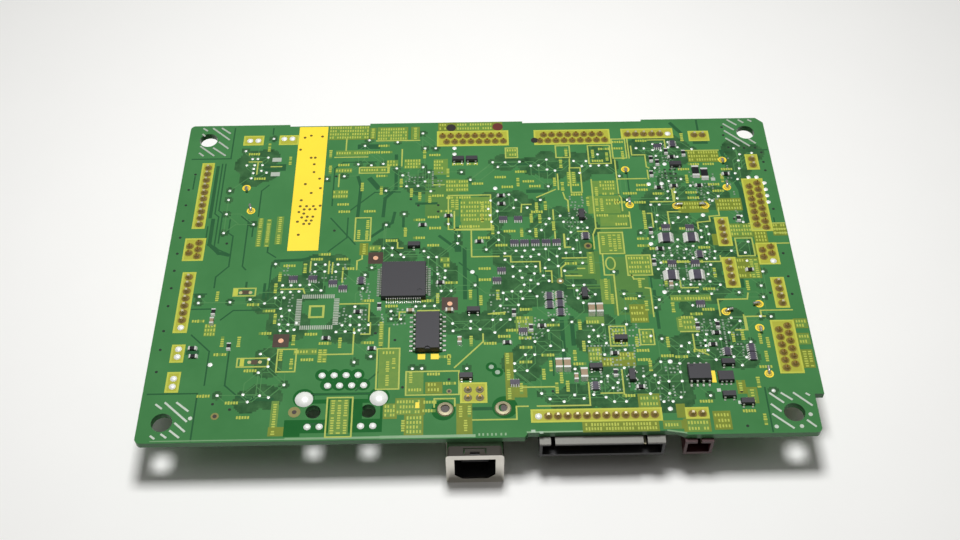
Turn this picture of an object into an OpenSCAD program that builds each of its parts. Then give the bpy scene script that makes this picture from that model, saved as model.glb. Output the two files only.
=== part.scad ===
// Printer formatter board, lying solder side up on its own taller components.
// Units are millimetres. X runs along the long edge, Y away from the edge with the USB socket, Z up.

/* [Board] */
// Length of the board along X
board_l = 142.8; // [141:0.1:150]
// Width of the board along Y
board_w = 91.2; // [90:0.1:98]
// Thickness of the laminate
board_t = 1.6; // [1.2:0.1:2.4]
// Radius of the rounded board corners
corner_r = 1.2; // [0.6:0.1:2]
// Leg of the chamfer on the rear right corner
corner_chamfer = 1.7; // [1:0.1:3]
// Depth of the shallow break-off recesses in the rear edge
recess_d = 0.6; // [0.3:0.1:1]
// Depth of the step in the front edge at the long side-entry header
front_recess_d = 1; // [0.5:0.1:1.5]
// Size of the notch in the front right corner along X
notch_l = 2; // [1:0.1:3]
// Size of the notch in the front right corner along Y
notch_w = 9.3; // [8:0.1:11]
// Diameter of the four screw holes
screw_hole_d = 4.4; // [3.2:0.1:4.6]

/* [USB socket] */
// Height of the socket, which sets how high the board stands
usb_h = 11; // [10.8:0.1:13]
// Width of the socket
usb_w = 12; // [12:0.1:12.6]
// Depth of the socket from its face to its back
usb_l = 16.2; // [15.8:0.1:17]
// How far the face stands out past the front edge of the board
usb_overhang = 3.2; // [2:0.1:4]
// Thickness of the shell's sheet metal
usb_sheet = 0.35; // [0.25:0.05:0.5]
// Width of the plug opening
usb_mouth_w = 8.5; // [8.2:0.1:9]
// Height of the plug opening
usb_mouth_h = 7.8; // [7.4:0.1:8.2]
// Depth of the plug opening
usb_mouth_d = 9.4; // [8:0.1:11]
// Width of the tongue that carries the contacts
tongue_w = 5.6; // [5:0.1:6]
// Thickness of the tongue
tongue_h = 3.2; // [2.8:0.1:3.4]
// Diameter of the two holes for the shell's legs
usb_leg_hole_d = 2.3; // [2.1:0.1:2.6]

/* [Wire headers] */
// Pitch of the wire headers
header_pitch = 2; // [2:0.1:2.2]
// Width of an upright wire header
header_w = 4.5; // [4.2:0.1:4.8]
// Height of an upright wire header
header_h = 6; // [5:0.1:8]
// Housing past the first and the last pin of a wire header
header_end = 1.95; // [1.8:0.05:2.1]
// Wall of a wire header
header_wall = 0.6; // [0.5:0.05:0.8]
// Side of a square header pin
pin_side = 0.5; // [0.4:0.02:0.56]
// Height of the two side-entry headers
side_header_h = 4.8; // [4.4:0.1:6]
// Depth of a side-entry header
side_header_d = 7.1; // [7:0.1:8]

/* [Flex connectors] */
// Distance between the two rows of flex connector tails
flex_row_gap = 2; // [1.9:0.05:2.2]
// Width of a flex connector
flex_w = 4.8; // [4.4:0.1:5]
// Height of a flex connector
flex_h = 6.4; // [5:0.1:8]
// Width of the slot that takes the flat cable
flex_slot_w = 1; // [0.8:0.05:1.2]
// Housing past the first and the last contact of a flex connector
flex_end = 1.8; // [1.6:0.1:2]

/* [Holes and solder] */
// Diameter of the plated holes for pins, tails and leads
pin_hole_d = 0.9; // [0.85:0.01:1]
// How far pins and tails stand out of the solder side
pin_reach = 1; // [0.8:0.05:1.4]
// Diameter of a solder joint on the board
solder_d = 1.5; // [1.3:0.05:1.7]
// Height of a solder joint
solder_h = 0.6; // [0.4:0.05:0.7]
// Diameter of the two big solder pads of the network socket, which isn't fitted
big_pad_d = 3.8; // [3:0.1:4.2]

/* [Chips] */
// Thickness of the solder under the flat-mounted parts
pad_t = 0.05; // [0.03:0.01:0.1]
// Body size of the square quad flat package
qfp_body = 10; // [9:0.1:10.4]
// Lead count on each side of the quad flat package
qfp_side_leads = 16; // [12:1:18]
// Length of the wide two-row package's body
wide_ic_l = 9.9; // [9.7:0.1:10.6]
// Width of the wide two-row package's body
wide_ic_w = 5.3; // [3.9:0.1:5.6]
// Length of the small two-row package's body
small_ic_l = 4.9; // [4.8:0.1:5.2]
// Width of the small two-row package's body
small_ic_w = 3.9; // [3.6:0.1:4.2]
// Side of the processor's square body
processor_side = 17; // [15:0.5:19]
// Length of the memory's body
memory_l = 22.2; // [22:0.1:23]
// Width of the memory's body
memory_w = 10.2; // [9.6:0.1:10.6]

/* [Wound and round parts] */
// Diameter of the surface-mounted capacitor cans
can_d = 8; // [6.3:0.1:8.2]
// Height of the surface-mounted capacitors
can_h = 10.5; // [7:0.1:10.8]
// Diameter of the axial chokes
choke_d = 4.4; // [3:0.1:5]
// Diameter of the chokes' leads
choke_lead_d = 0.6; // [0.5:0.05:0.8]

/* [Hidden] */
$fn = 48;
eps = 0.01;

// Heights of the two faces of the board, and the middle of the whole outline along Y.
under_z = usb_h;
top_z = usb_h + board_t;
middle_y = (board_w - usb_overhang) / 2;

// Places keep their distance from the edges that hold them, and spread with the board elsewhere.
// The layout is given for a board of this size.
layout_l = 142.8;
layout_w = 91.2;
function share_x(x) = x * board_l / layout_l;
function share_y(y) = y * board_w / layout_w;
function spread(p) = [share_x(p[0]), share_y(p[1]), p[2]];
function up_left(p) = [p[0], share_y(p[1]), p[2]];
function up_right(p) = [board_l - p[0], share_y(p[1]), p[2]];
function along_front(p) = [share_x(p[0]), p[1], p[2]];
function along_rear(p) = [share_x(p[0]), board_w - p[1], p[2]];
function from_right(p) = [board_l - p[0], p[1], p[2]];
function from_rear(p) = [p[0], board_w - p[1], p[2]];
function from_rear_right(p) = [board_l - p[0], board_w - p[1], p[2]];

// Moves children to a place on the solder side, or hangs them under the component side.
module on_top(p) {
    translate([p[0] - board_l / 2, p[1] - middle_y, top_z]) rotate([0, 0, p[2]]) children();
}
module hang(p) {
    translate([p[0] - board_l / 2, p[1] - middle_y, under_z]) rotate([180, 0, 0])
        rotate([0, 0, -p[2]]) children();
}

// --- Places -----------------------------------------------------------------------------
screw_places = [[5, 4.9, 0], from_rear([4.9, 5, 0]), from_right([7, 4.9, 0]),
    from_rear_right([4.9, 5, 0])];

// Upright wire headers: place of the middle of the pin row, turned 90 where it runs along Y.
left_10way = up_left([6, 67.75, 90]);
left_7way = up_left([5.7, 37.05, 90]);
rear_5way = along_rear([112.6, 5.1, 0]);
rear_2way = from_rear_right([16.7, 5.7, 0]);
right_2way = up_right([4.7, 76, 90]);
right_4way = up_right([4.7, 36.1, 90]);
middle_rear = up_right([14.9, 54, 90]);
middle_front = up_right([14.9, 42, 90]);
headers = [[left_10way, 10], [left_7way, 7], [rear_5way, 5], [rear_2way, 2],
    [right_2way, 2], [right_4way, 4], [middle_rear, 4], [middle_front, 4]];

// Side-entry headers on the front edge: middle of the pin row.
front_12way = along_front([95.8, 4.9, 0]);
front_2way = along_front([115.7, 4.9, 0]);
side_headers = [[front_12way, 12], [front_2way, 2]];
side_pin_back = 1.4;

// Flex connectors: middle between the two rows, and the side on which the first tail lies.
left_5way = up_left([5.7, 51.1, 90]);
rear_16way = along_rear([70.3, 5.8, 0]);
rear_17way = along_rear([94.8, 5.9, 0]);
right_15way = up_right([5.7, 62, 90]);
right_short = up_right([5.7, 47.8, 90]);
right_12way = up_right([5.7, 21.4, 90]);
flexes = [[left_5way, 5, -1], [rear_16way, 16, 1], [rear_17way, 17, -1],
    [right_15way, 15, -1], [right_short, 4, 1], [right_12way, 12, 1]];

// USB socket: middle of its width, and the row of its legs and of its contacts.
usb_x = share_x(69.5);
usb_leg_y = 10.2 - usb_overhang;
usb_leg_gap = 12;
usb_contact_ys = [usb_leg_y + 2.7, usb_leg_y + 4.7];
usb_contact_gap = 2.5;

// Pads that are soldered but hold no pin, and the pads and pegs of the missing network socket.
net_x = share_x(41.8);
net_rows = [[-4.4, 15.9], [-3.1, 13.3]];
net_pitch = 2.54;
net_peg_d = 3.2;
net_peg_gap = 11.4;
net_peg_y = 6.9;
net_shield_gap = 15.6;
net_shield_y = 10;
net_lamp_xs = [-6.7, -4.2, 4.3, 6.8];
net_lamp_y = 3.3;
empty_pads = concat(
    [for (row = net_rows, i = [0:3]) [net_x + row[0] + i * net_pitch, row[1], 0]],
    [for (x = net_lamp_xs) [net_x + x, net_lamp_y, 0]],
    [[left_7way[0], left_7way[1] - 4 * header_pitch, 0],
        [rear_5way[0] + 3 * header_pitch, rear_5way[1], 0],
        [front_12way[0] - 6.5 * header_pitch, front_12way[1], 0],
        up_right([4.7, 45.1, 0])],
    [for (y = [13.7, 15.7, 21.3, 23.3]) [6, y, 0]],
    [from_rear([15.2, 5.4, 0]), from_rear([17.2, 5.4, 0]),
        from_rear([23.6, 4.9, 0]), from_rear([25.6, 4.9, 0])]);
net_shields = [for (s = [-1, 1]) [net_x + s * net_shield_gap / 2, net_shield_y, 0]];
net_pegs = [for (s = [-1, 1]) [net_x + s * net_peg_gap / 2, net_peg_y, 0]];

// Axial chokes: middle, turn and lead spacing.
chokes = [[up_left([16.8, 66.35, 104]), 7.5], [spread([107, 68.5, 90]), 11.4],
    [spread([121.3, 62.2, 0]), 7], [up_right([12, 72.4, 90]), 9],
    [up_right([13.7, 32, 15]), 7.8], [from_right([10.75, 20.5, 90]), 12]];

// --- Shared shapes ----------------------------------------------------------------------
// Rectangle with round corners, centred.
module round_rect(l, w, r) {
    square([l, w - 2 * r], center = true);
    square([l - 2 * r, w], center = true);
    for (x = [-1, 1], y = [-1, 1]) translate([x * (l / 2 - r), y * (w / 2 - r)]) circle(r);
}

// Block whose four sides lean in by the draft above and below its parting line.
module drafted_block(l, w, h, draft) {
    intersection() {
        rotate([90, 0, 0]) linear_extrude(w, center = true) drafted_profile(l, h, draft);
        rotate([90, 0, 90]) linear_extrude(l, center = true) drafted_profile(w, h, draft);
    }
}
module drafted_profile(l, h, draft) {
    polygon([[-l / 2 + draft, 0], [l / 2 - draft, 0], [l / 2, h / 2], [l / 2 - draft, h],
        [-l / 2 + draft, h], [-l / 2, h / 2]]);
}

// Gull-wing lead in the XZ plane: from the body's side at height z, out, down and to a foot.
module gull_lead(z, reach, foot, width, thick) {
    bend = reach - foot;
    rotate([90, 0, 0]) linear_extrude(width, center = true) polygon([[0, z - thick / 2],
        [bend / 2 - thick / 2, z - thick / 2], [bend - thick / 2, 0], [reach, 0],
        [reach, thick], [bend + thick / 2, thick], [bend / 2 + thick / 2, z + thick / 2],
        [0, z + thick / 2]]);
}

// Rows of gull-wing leads on two opposite sides of a body.
module lead_rows(count, pitch, body, z, reach, foot, width, thick) {
    for (side = [0, 180], i = [0:count - 1]) rotate([0, 0, side])
        translate([body / 2, (i - (count - 1) / 2) * pitch, 0])
            gull_lead(z, reach, foot, width, thick);
}

// Two-terminal chip along X: the ceramic, and the soldered ends with their fillets.
module chip_ceramic(l, w, h, band) {
    translate([band - l / 2, -w / 2, pad_t]) cube([l - 2 * band, w, h]);
}
module chip_end_pair(l, w, h, band, fillet) {
    for (side = [0, 180]) rotate([0, 0, side]) rotate([90, 0, 0])
        linear_extrude(w + 2 * pad_t, center = true) polygon([[l / 2 - band, 0],
            [l / 2 + fillet, 0], [l / 2 + fillet, pad_t], [l / 2, h + pad_t],
            [l / 2 - band, h + pad_t]]);
}

// Solder joint of a plated hole: barrel, and a fillet that climbs the lead.
module joint_body(hole, d, h) {
    translate([0, 0, -board_t]) rotate_extrude() polygon([[0, 0], [hole / 2, 0],
        [hole / 2, board_t], [d / 2, board_t], [d / 2 - 0.1, board_t + 0.12],
        [hole / 2 + 0.05, board_t + h / 2], [hole / 2 - 0.05, board_t + h],
        [0, board_t + h]]);
}

// --- Board ------------------------------------------------------------------------------
rear_recesses = [[share_x(24.7), share_x(44.7)], [share_x(82.7), share_x(112.4)]];
// The front edge steps back in front of the long side-entry header.
front_recess = [share_x(79.8), share_x(113.2)];
// Length over which the step's two ends slope in.
recess_run = [0.6, 2.2];

module board_outline() {
    difference() {
        union() {
            translate([corner_r, 0]) square([board_l - notch_l - 2 * corner_r, corner_r]);
            translate([0, corner_r]) square([board_l - notch_l, notch_w - corner_r]);
            translate([0, notch_w]) square([board_l, board_w - notch_w - corner_r]);
            translate([corner_r, board_w - corner_r - eps])
                square([board_l - corner_r, corner_r + eps]);
            translate([corner_r, corner_r]) circle(corner_r);
            translate([board_l - notch_l - corner_r, corner_r]) circle(corner_r);
            translate([corner_r, board_w - corner_r]) circle(corner_r);
        }
        translate([board_l, board_w]) rotate(45)
            square(corner_chamfer * sqrt(2), center = true);
        for (r = rear_recesses) translate([r[0], board_w - recess_d])
            square([r[1] - r[0], recess_d + eps]);
        polygon([[front_recess[0], -eps], [front_recess[1], -eps],
            [front_recess[1] - recess_run[1], front_recess_d],
            [front_recess[0] + recess_run[0], front_recess_d]]);
    }
}

module drill(places, d) {
    for (p = places) translate([p[0], p[1], -eps]) cylinder(d = d, h = board_t + 2 * eps);
}

function turned(p, x, y) = [p[0] + x * cos(p[2]) - y * sin(p[2]),
    p[1] + x * sin(p[2]) + y * cos(p[2]), p[2]];
function header_pin_places(h) = [for (i = [0:h[1] - 1])
    turned(h[0], (i - (h[1] - 1) / 2) * header_pitch, 0)];
function flex_side(f, i) = f[2] * (i % 2 == 0 ? 1 : -1);
function flex_tail_places(f) = [for (i = [0:f[1] - 1])
    turned(f[0], i - (f[1] - 1) / 2, flex_side(f, i) * flex_row_gap / 2)];
function choke_lead_places(c) = [for (s = [-1, 1]) turned(c[0], s * c[1] / 2, 0)];

header_pin_spots = [for (h = headers) each header_pin_places(h)];
side_pin_spots = [for (h = side_headers) each header_pin_places(h)];
flex_tail_spots = [for (f = flexes) each flex_tail_places(f)];
choke_lead_spots = [for (c = chokes) each choke_lead_places(c)];
usb_contact_spots = [for (y = usb_contact_ys, s = [-1, 1])
    [usb_x + s * usb_contact_gap / 2, y, 0]];
usb_leg_spots = [for (s = [-1, 1]) [usb_x + s * usb_leg_gap / 2, usb_leg_y, 0]];

module circuit_board() {
    color("seagreen") translate([-board_l / 2, -middle_y, under_z]) difference() {
        linear_extrude(board_t) board_outline();
        drill(screw_places, screw_hole_d);
        drill(net_pegs, net_peg_d);
        drill(usb_leg_spots, usb_leg_hole_d);
        drill(concat(header_pin_spots, side_pin_spots, flex_tail_spots, choke_lead_spots,
            usb_contact_spots, empty_pads), pin_hole_d);
    }
}

// --- USB socket -------------------------------------------------------------------------
mouth_chamfer = 1.6;
mouth_z = usb_h / 2;
tongue_setback = 2.6;
leg_w = 1.8;
contact_w = 1;
contact_t = 0.3;

// The socket stands in its own frame: face at y = 0, board side up at z = usb_h.
module in_usb_frame() {
    translate([usb_x - board_l / 2, -usb_overhang - middle_y, 0]) children();
}

module mouth_profile(grow) {
    w = usb_mouth_w / 2 + grow;
    h = usb_mouth_h / 2 + grow;
    polygon([[-w, h], [w, h], [w, mouth_chamfer - h], [w - mouth_chamfer, -h],
        [mouth_chamfer - w, -h], [-w, mouth_chamfer - h]]);
}

// Cross-section of a boss whose sides lean in at 45 degrees.
module sloped_profile(l, h) {
    polygon([[-l / 2, 0], [l / 2, 0], [l / 2 - h, h], [h - l / 2, h]]);
}

module through_y(depth) {
    translate([0, depth, mouth_z]) rotate([90, 0, 0]) linear_extrude(depth) children();
}

// Stop pressed out of the board-side wall near the face, with the hole under its front.
tab_w = 4.8;
tab_l = 1.6;
tab_rise = 0.4;
tab_y = 0.2;
tab_hole = [2, 0.55];
// Open part of the board side, through which the contacts' tails leave.
window_w = 8;
window_y = usb_contact_ys[0] + usb_overhang - 1.4;

module usb_shell() {
    color("gainsboro") in_usb_frame() {
        difference() {
            through_y(usb_l) round_rect(usb_w, usb_h, 0.8);
            translate([0, usb_sheet, 0]) through_y(usb_l)
                round_rect(usb_w - 2 * usb_sheet, usb_h - 2 * usb_sheet, 0.8 - usb_sheet);
            translate([0, -eps, 0]) through_y(usb_sheet + 2 * eps) mouth_profile(0);
            translate([-tab_hole[0] / 2, tab_y, usb_h - usb_sheet - eps])
                cube([tab_hole[0], tab_hole[1], usb_sheet + 2 * eps]);
            translate([-window_w / 2, window_y, usb_h - usb_sheet - eps])
                cube([window_w, usb_l, usb_sheet + 2 * eps]);
        }
        translate([0, tab_y + tab_l / 2, usb_h - eps]) difference() {
            intersection() {
                rotate([90, 0, 0]) linear_extrude(tab_l, center = true)
                    sloped_profile(tab_w, tab_rise);
                rotate([90, 0, 90]) linear_extrude(tab_w, center = true)
                    sloped_profile(tab_l, tab_rise);
            }
            translate([-tab_hole[0] / 2, -tab_l / 2 - eps, -eps])
                cube([tab_hole[0], tab_hole[1] + eps, tab_rise + 3 * eps]);
        }
        for (side = [-1, 1]) translate([side * usb_leg_gap / 2 - usb_sheet / 2,
            usb_leg_y + usb_overhang - leg_w / 2, usb_h - 2])
            cube([usb_sheet, leg_w, 2 + board_t - 0.3]);
    }
}

module usb_insulator() {
    inner_w = usb_w - 2 * usb_sheet;
    inner_h = usb_h - 2 * usb_sheet;
    color("#222224") in_usb_frame() difference() {
        union() {
            difference() {
                translate([0, usb_sheet, 0]) through_y(usb_l - usb_sheet)
                    round_rect(inner_w, inner_h, 0.8 - usb_sheet);
                through_y(usb_mouth_d) mouth_profile(0);
            }
            translate([-tongue_w / 2, tongue_setback, mouth_z - tongue_h / 2])
                cube([tongue_w, usb_mouth_d - tongue_setback + eps, tongue_h]);
        }
        usb_contact_shapes();
    }
}

// Each contact lies on a face of the tongue, runs back through the block and turns up to the board.
module usb_contact_shapes() {
    for (row = [0, 1], side = [-1, 1]) {
        tail_y = usb_contact_ys[row] + usb_overhang;
        z = mouth_z + (row == 0 ? 1 : -1) * (tongue_h / 2 - contact_t / 2);
        x = side * usb_contact_gap / 2;
        translate([x - contact_w / 2, tongue_setback + 0.6, z - contact_t / 2])
            cube([contact_w, tail_y - tongue_setback - 0.6, contact_t]);
        translate([x - pin_side / 2, tail_y - pin_side / 2, z - contact_t / 2])
            cube([pin_side, pin_side, top_z + pin_reach - z + contact_t / 2]);
    }
}

module usb_contacts() {
    color("gold") in_usb_frame() usb_contact_shapes();
}

module usb_solder() {
    color("silver") {
        for (p = usb_contact_spots) on_top(p) difference() {
            joint_body(pin_hole_d, solder_d + 0.3, solder_h);
            pin_cutter();
        }
        for (p = usb_leg_spots) on_top(p) difference() {
            translate([0, 0, -board_t]) rotate_extrude() polygon([[0, 0],
                [usb_leg_hole_d / 2, 0], [usb_leg_hole_d / 2, board_t],
                [usb_leg_hole_d / 2 + 0.6, board_t], [usb_leg_hole_d / 2 + 0.4, board_t + 0.25],
                [usb_leg_hole_d / 2 - 0.2, board_t + 0.3], [usb_leg_hole_d / 2 - 0.35, board_t - 0.4],
                [0, board_t - 0.5]]);
            translate([-usb_sheet / 2, -leg_w / 2, -board_t - eps])
                cube([usb_sheet, leg_w, board_t + 1]);
        }
    }
}

module pin_cutter() {
    translate([-pin_side / 2, -pin_side / 2, -board_t - eps])
        cube([pin_side, pin_side, board_t + pin_reach + 1]);
}

// --- Upright wire headers ---------------------------------------------------------------
header_base = 1.6;
key_slot = 0.9;

// Open-topped housing: cavity round the pins, two key slots in one long wall, one in each end.
module header_housing(count) {
    l = (count - 1) * header_pitch + 2 * header_end;
    key_x = (count - 1) * header_pitch / 2 + (count > 2 ? -header_pitch / 2 : 0);
    difference() {
        translate([-l / 2, -header_w / 2, 0]) cube([l, header_w, header_h]);
        translate([header_wall - l / 2, header_wall - header_w / 2, header_base])
            cube([l - 2 * header_wall, header_w - 2 * header_wall, header_h]);
        for (side = [-1, 1]) translate([side * key_x - key_slot / 2, -header_w / 2 - eps,
            header_base + 1]) cube([key_slot, header_wall + 2 * eps, header_h]);
        for (side = [-1, 1]) translate([side * (l - header_wall) / 2 - header_wall,
            -key_slot / 2, header_base + 2]) cube([2 * header_wall, key_slot, header_h]);
        for (i = [0:count - 1]) translate([(i - (count - 1) / 2) * header_pitch, 0, 0])
            cube([pin_side, pin_side, 2 * header_base + 2 * eps], center = true);
    }
}

module header_at(place, count, tint) {
    color(tint) hang(place) header_housing(count);
}
module left_header_10way() { header_at(left_10way, 10, "ivory"); }
module left_header_7way() { header_at(left_7way, 7, "ivory"); }
module rear_header_5way() { header_at(rear_5way, 5, "ivory"); }
module rear_header_2way() { header_at(rear_2way, 2, "ivory"); }
module right_header_2way() { header_at(right_2way, 2, "ivory"); }
module right_header_4way() { header_at(right_4way, 4, "ivory"); }
module middle_header_rear() { header_at(middle_rear, 4, "ivory"); }
module middle_header_front() { header_at(middle_front, 4, "ivory"); }

module header_pins() {
    color("silver") for (p = header_pin_spots) hang(p)
        translate([-pin_side / 2, -pin_side / 2, -board_t - pin_reach])
            cube([pin_side, pin_side, board_t + pin_reach + header_h - 1.2]);
}

module header_solder() {
    color("silver") for (p = concat(header_pin_spots, side_pin_spots)) on_top(p)
        difference() {
            joint_body(pin_hole_d, solder_d, solder_h);
            pin_cutter();
        }
}

// --- Side-entry wire headers ------------------------------------------------------------
side_cavity_d = 5.6;
side_cavity_h = 3.4;
side_slot_w = 0.9;
// Distance of the two key slots from the first and the last pin.
key_insets = [0.8, 2.2];
side_slot_d = 2.4;
// Locking bar of the long header, let into its top from the mouth back.
lock_t = 0.4;
lock_d = 4.6;

// Box with its mouth towards the front; the pins bend from the cavity's floor up to the board.
module side_header_housing(count) {
    l = side_header_l(count);
    front = side_pin_back - side_header_d;
    difference() {
        translate([-l / 2, front, -side_header_h]) cube([l, side_header_d, side_header_h]);
        translate([header_wall - l / 2, front - eps, -(side_header_h + side_cavity_h) / 2])
            cube([l - 2 * header_wall, side_cavity_d, side_cavity_h]);
        key_slots(count);
        if (count > 2) lock_space(count);
        side_pin_shapes(count);
    }
}

function side_header_l(count) = (count - 1) * header_pitch + 2 * header_end;

module key_slots(count) {
    reach = (count - 1) * header_pitch / 2;
    slot_xs = count > 2 ? [key_insets[0] - reach, reach - key_insets[1]] : [0];
    for (x = slot_xs) translate([x - side_slot_w / 2, side_pin_back - side_header_d - eps,
        -side_header_h / 2]) cube([side_slot_w, side_slot_d, side_header_h]);
}

module lock_space(count) {
    translate([-side_header_l(count) / 2 - eps, side_pin_back - side_header_d - eps, -lock_t])
        cube([side_header_l(count) + 2 * eps, lock_d + eps, lock_t + eps]);
}

module side_pin_shapes(count) {
    for (i = [0:count - 1]) translate([(i - (count - 1) / 2) * header_pitch, 0, 0]) {
        translate([-pin_side / 2, -pin_side / 2, -(side_header_h + pin_side) / 2])
            cube([pin_side, pin_side, (side_header_h + pin_side) / 2 + board_t + pin_reach]);
        translate([-pin_side / 2, 1.2 + side_pin_back - side_header_d,
            -(side_header_h + pin_side) / 2])
            cube([pin_side, side_header_d - side_pin_back - 1.2, pin_side]);
    }
}

module from_under(p) {
    translate([p[0] - board_l / 2, p[1] - middle_y, under_z]) children();
}
module front_header_12way() {
    color("#2c2c30") from_under(front_12way) side_header_housing(12);
}
module front_header_lock() {
    l = side_header_l(12);
    color("lightgray") from_under(front_12way) difference() {
        translate([-l / 2, side_pin_back - side_header_d, -lock_t]) cube([l, lock_d, lock_t]);
        key_slots(12);
    }
}
module front_header_2way() {
    color("firebrick") from_under(front_2way) side_header_housing(2);
}
module front_header_pins() {
    color("silver") for (h = side_headers) from_under(h[0]) side_pin_shapes(h[1]);
}

// --- Flex connectors --------------------------------------------------------------------
flex_slot_d = 4.4;
blade_t = 0.25;
blade_w = 0.4;
flex_jog_z = 0.5;

// A contact: blade in the slot's wall, a jog inside the base, and a tail through the board.
module flex_contact_shapes(count, first_side) {
    for (i = [0:count - 1]) {
        side = first_side * (i % 2 == 0 ? 1 : -1);
        inner = flex_slot_w / 2;
        outer = flex_row_gap / 2 + blade_t / 2;
        translate([i - (count - 1) / 2 - blade_w / 2, 0, 0]) {
            translate([0, side > 0 ? -inner - blade_t : inner, flex_jog_z])
                cube([blade_w, blade_t, flex_h - flex_jog_z - 0.6]);
            translate([0, side > 0 ? -outer : inner, flex_jog_z])
                cube([blade_w, outer - inner, blade_w]);
            translate([0, side > 0 ? -outer : outer - blade_t, -board_t - pin_reach])
                cube([blade_w, blade_t, board_t + pin_reach + flex_jog_z + blade_w]);
        }
    }
}

module flex_housing(count, first_side) {
    l = count - 1 + 2 * flex_end;
    slot_l = count + 0.8;
    difference() {
        translate([-l / 2, -flex_w / 2, 0]) cube([l, flex_w, flex_h]);
        translate([-slot_l / 2, -flex_slot_w / 2, flex_h - flex_slot_d])
            cube([slot_l, flex_slot_w, flex_slot_d + eps]);
        rotate([90, 0, 90]) linear_extrude(slot_l, center = true)
            polygon([[-flex_slot_w / 2 - 0.5, flex_h + eps], [flex_slot_w / 2 + 0.5, flex_h + eps],
                [flex_slot_w / 2, flex_h - 0.6], [-flex_slot_w / 2, flex_h - 0.6]]);
        for (side = [-1, 1]) translate([-l / 2 + 1, side * (flex_w / 2 - 0.2) - 0.2, 1.4])
            cube([l - 2, 0.4, flex_h - 2.6]);
        flex_contact_shapes(count, first_side);
    }
}

module flex_at(f) {
    color("beige") hang(f[0]) flex_housing(f[1], f[2]);
}
module left_flex_5way() { flex_at(flexes[0]); }
module rear_flex_16way() { flex_at(flexes[1]); }
module rear_flex_17way() { flex_at(flexes[2]); }
module right_flex_15way() { flex_at(flexes[3]); }
module right_flex_4way() { flex_at(flexes[4]); }
module right_flex_12way() { flex_at(flexes[5]); }

module flex_contacts() {
    color("goldenrod") for (f = flexes) hang(f[0]) flex_contact_shapes(f[1], f[2]);
}

module flex_solder() {
    color("silver") for (p = flex_tail_spots) on_top(p) difference() {
        joint_body(pin_hole_d, solder_d - 0.1, solder_h);
        translate([-blade_w / 2, -blade_t / 2, -board_t - eps])
            cube([blade_w, blade_t, board_t + pin_reach + 1]);
    }
}

// --- Filled pads ------------------------------------------------------------------------
// A pad without a pin: solder fills the barrel and stands as a low dome.
module filled_pads() {
    color("white") for (p = empty_pads) on_top(p) {
        translate([0, 0, -board_t]) cylinder(d = pin_hole_d, h = board_t + eps);
        dome(solder_d, 0.35);
    }
}

module dome(d, h) {
    r = (d * d / 4 + h * h) / (2 * h);
    translate([0, 0, h - r]) rotate_extrude() intersection() {
        circle(r);
        translate([0, r - h]) square([r, h]);
    }
}

module big_filled_pads() {
    color("white") for (p = net_shields) on_top(p) dome(big_pad_d, 0.8);
}

// --- Quad flat package ------------------------------------------------------------------
qfp_place = spread([54.2, 40.6, 0]);
qfp_h = 1.4;
qfp_stand = 0.1;
qfp_pitch = 0.5;
qfp_reach = 1;

module qfp_body() {
    color("dimgray") on_top(qfp_place) difference() {
        translate([0, 0, qfp_stand]) drafted_block(qfp_body, qfp_body, qfp_h, 0.12);
        translate([qfp_body / 2 - 1.4, 1.4 - qfp_body / 2, qfp_stand + qfp_h - 0.1])
            cylinder(d = 1.2, h = 1);
    }
}

module qfp_leads() {
    color("silver") on_top(qfp_place) for (turn = [0, 90]) rotate([0, 0, turn])
        lead_rows(qfp_side_leads, qfp_pitch, qfp_body, qfp_stand + qfp_h / 2, qfp_reach, 0.6,
            0.22, 0.14);
}

// --- Two-row packages -------------------------------------------------------------------
wide_ic_place = spread([59.7, 26.2, 0]);
wide_ic_h = 1.8;
small_ic_place = spread([117.2, 14.5, 90]);
small_ic_h = 1.5;
ic_stand = 0.1;
ic_pitch = 1.27;

module wide_ic_body() {
    color("dimgray") on_top(wide_ic_place) difference() {
        translate([0, 0, ic_stand]) drafted_block(wide_ic_w, wide_ic_l, wide_ic_h, 0.15);
        translate([0, -wide_ic_l / 2, ic_stand + wide_ic_h - 0.3]) cylinder(d = 1.2, h = 1);
    }
}
module wide_ic_leads() {
    color("silver") on_top(wide_ic_place)
        lead_rows(8, ic_pitch, wide_ic_w, ic_stand + wide_ic_h / 2, 1.3, 0.75, 0.42, 0.2);
}
module small_ic_body() {
    color("dimgray") on_top(small_ic_place) difference() {
        translate([0, 0, ic_stand]) drafted_block(small_ic_w, small_ic_l, small_ic_h, 0.12);
        translate([small_ic_w / 2 - 0.8, small_ic_l / 2 - 0.8, ic_stand + small_ic_h - 0.1])
            cylinder(d = 0.7, h = 1);
    }
}
module small_ic_leads() {
    color("silver") on_top(small_ic_place)
        lead_rows(4, ic_pitch, small_ic_w, ic_stand + small_ic_h / 2, 1.1, 0.65, 0.42, 0.2);
}

// --- Transistors and other small moulded parts ------------------------------------------
sot_l = 2.9;
sot_w = 1.4;
sot_h = 1;
sot_pitch = 0.95;
sot_places = [along_front([67.9, 14.8, 0]), for (p = [[69.7, 32.2, 0], [66.6, 78, 0], [69.9, 78, 0],
    [95.4, 59.6, 90], [94.5, 36.4, 90], [103, 14.4, 90], [95.5, 16.7, 0], [101.5, 24, 180],
    [119.2, 75.2, 0], [122.8, 9.2, 0], [123.7, 17.3, 0], [126.4, 7.4, 0], [56.3, 51.1, 180]])
    spread(p)];
// Two transistors in one body with six leads.
dual_place = spread([122.7, 13.6, 0]);
dual_l = 3.4;
dual_w = 2.4;
dual_h = 1.1;

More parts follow.
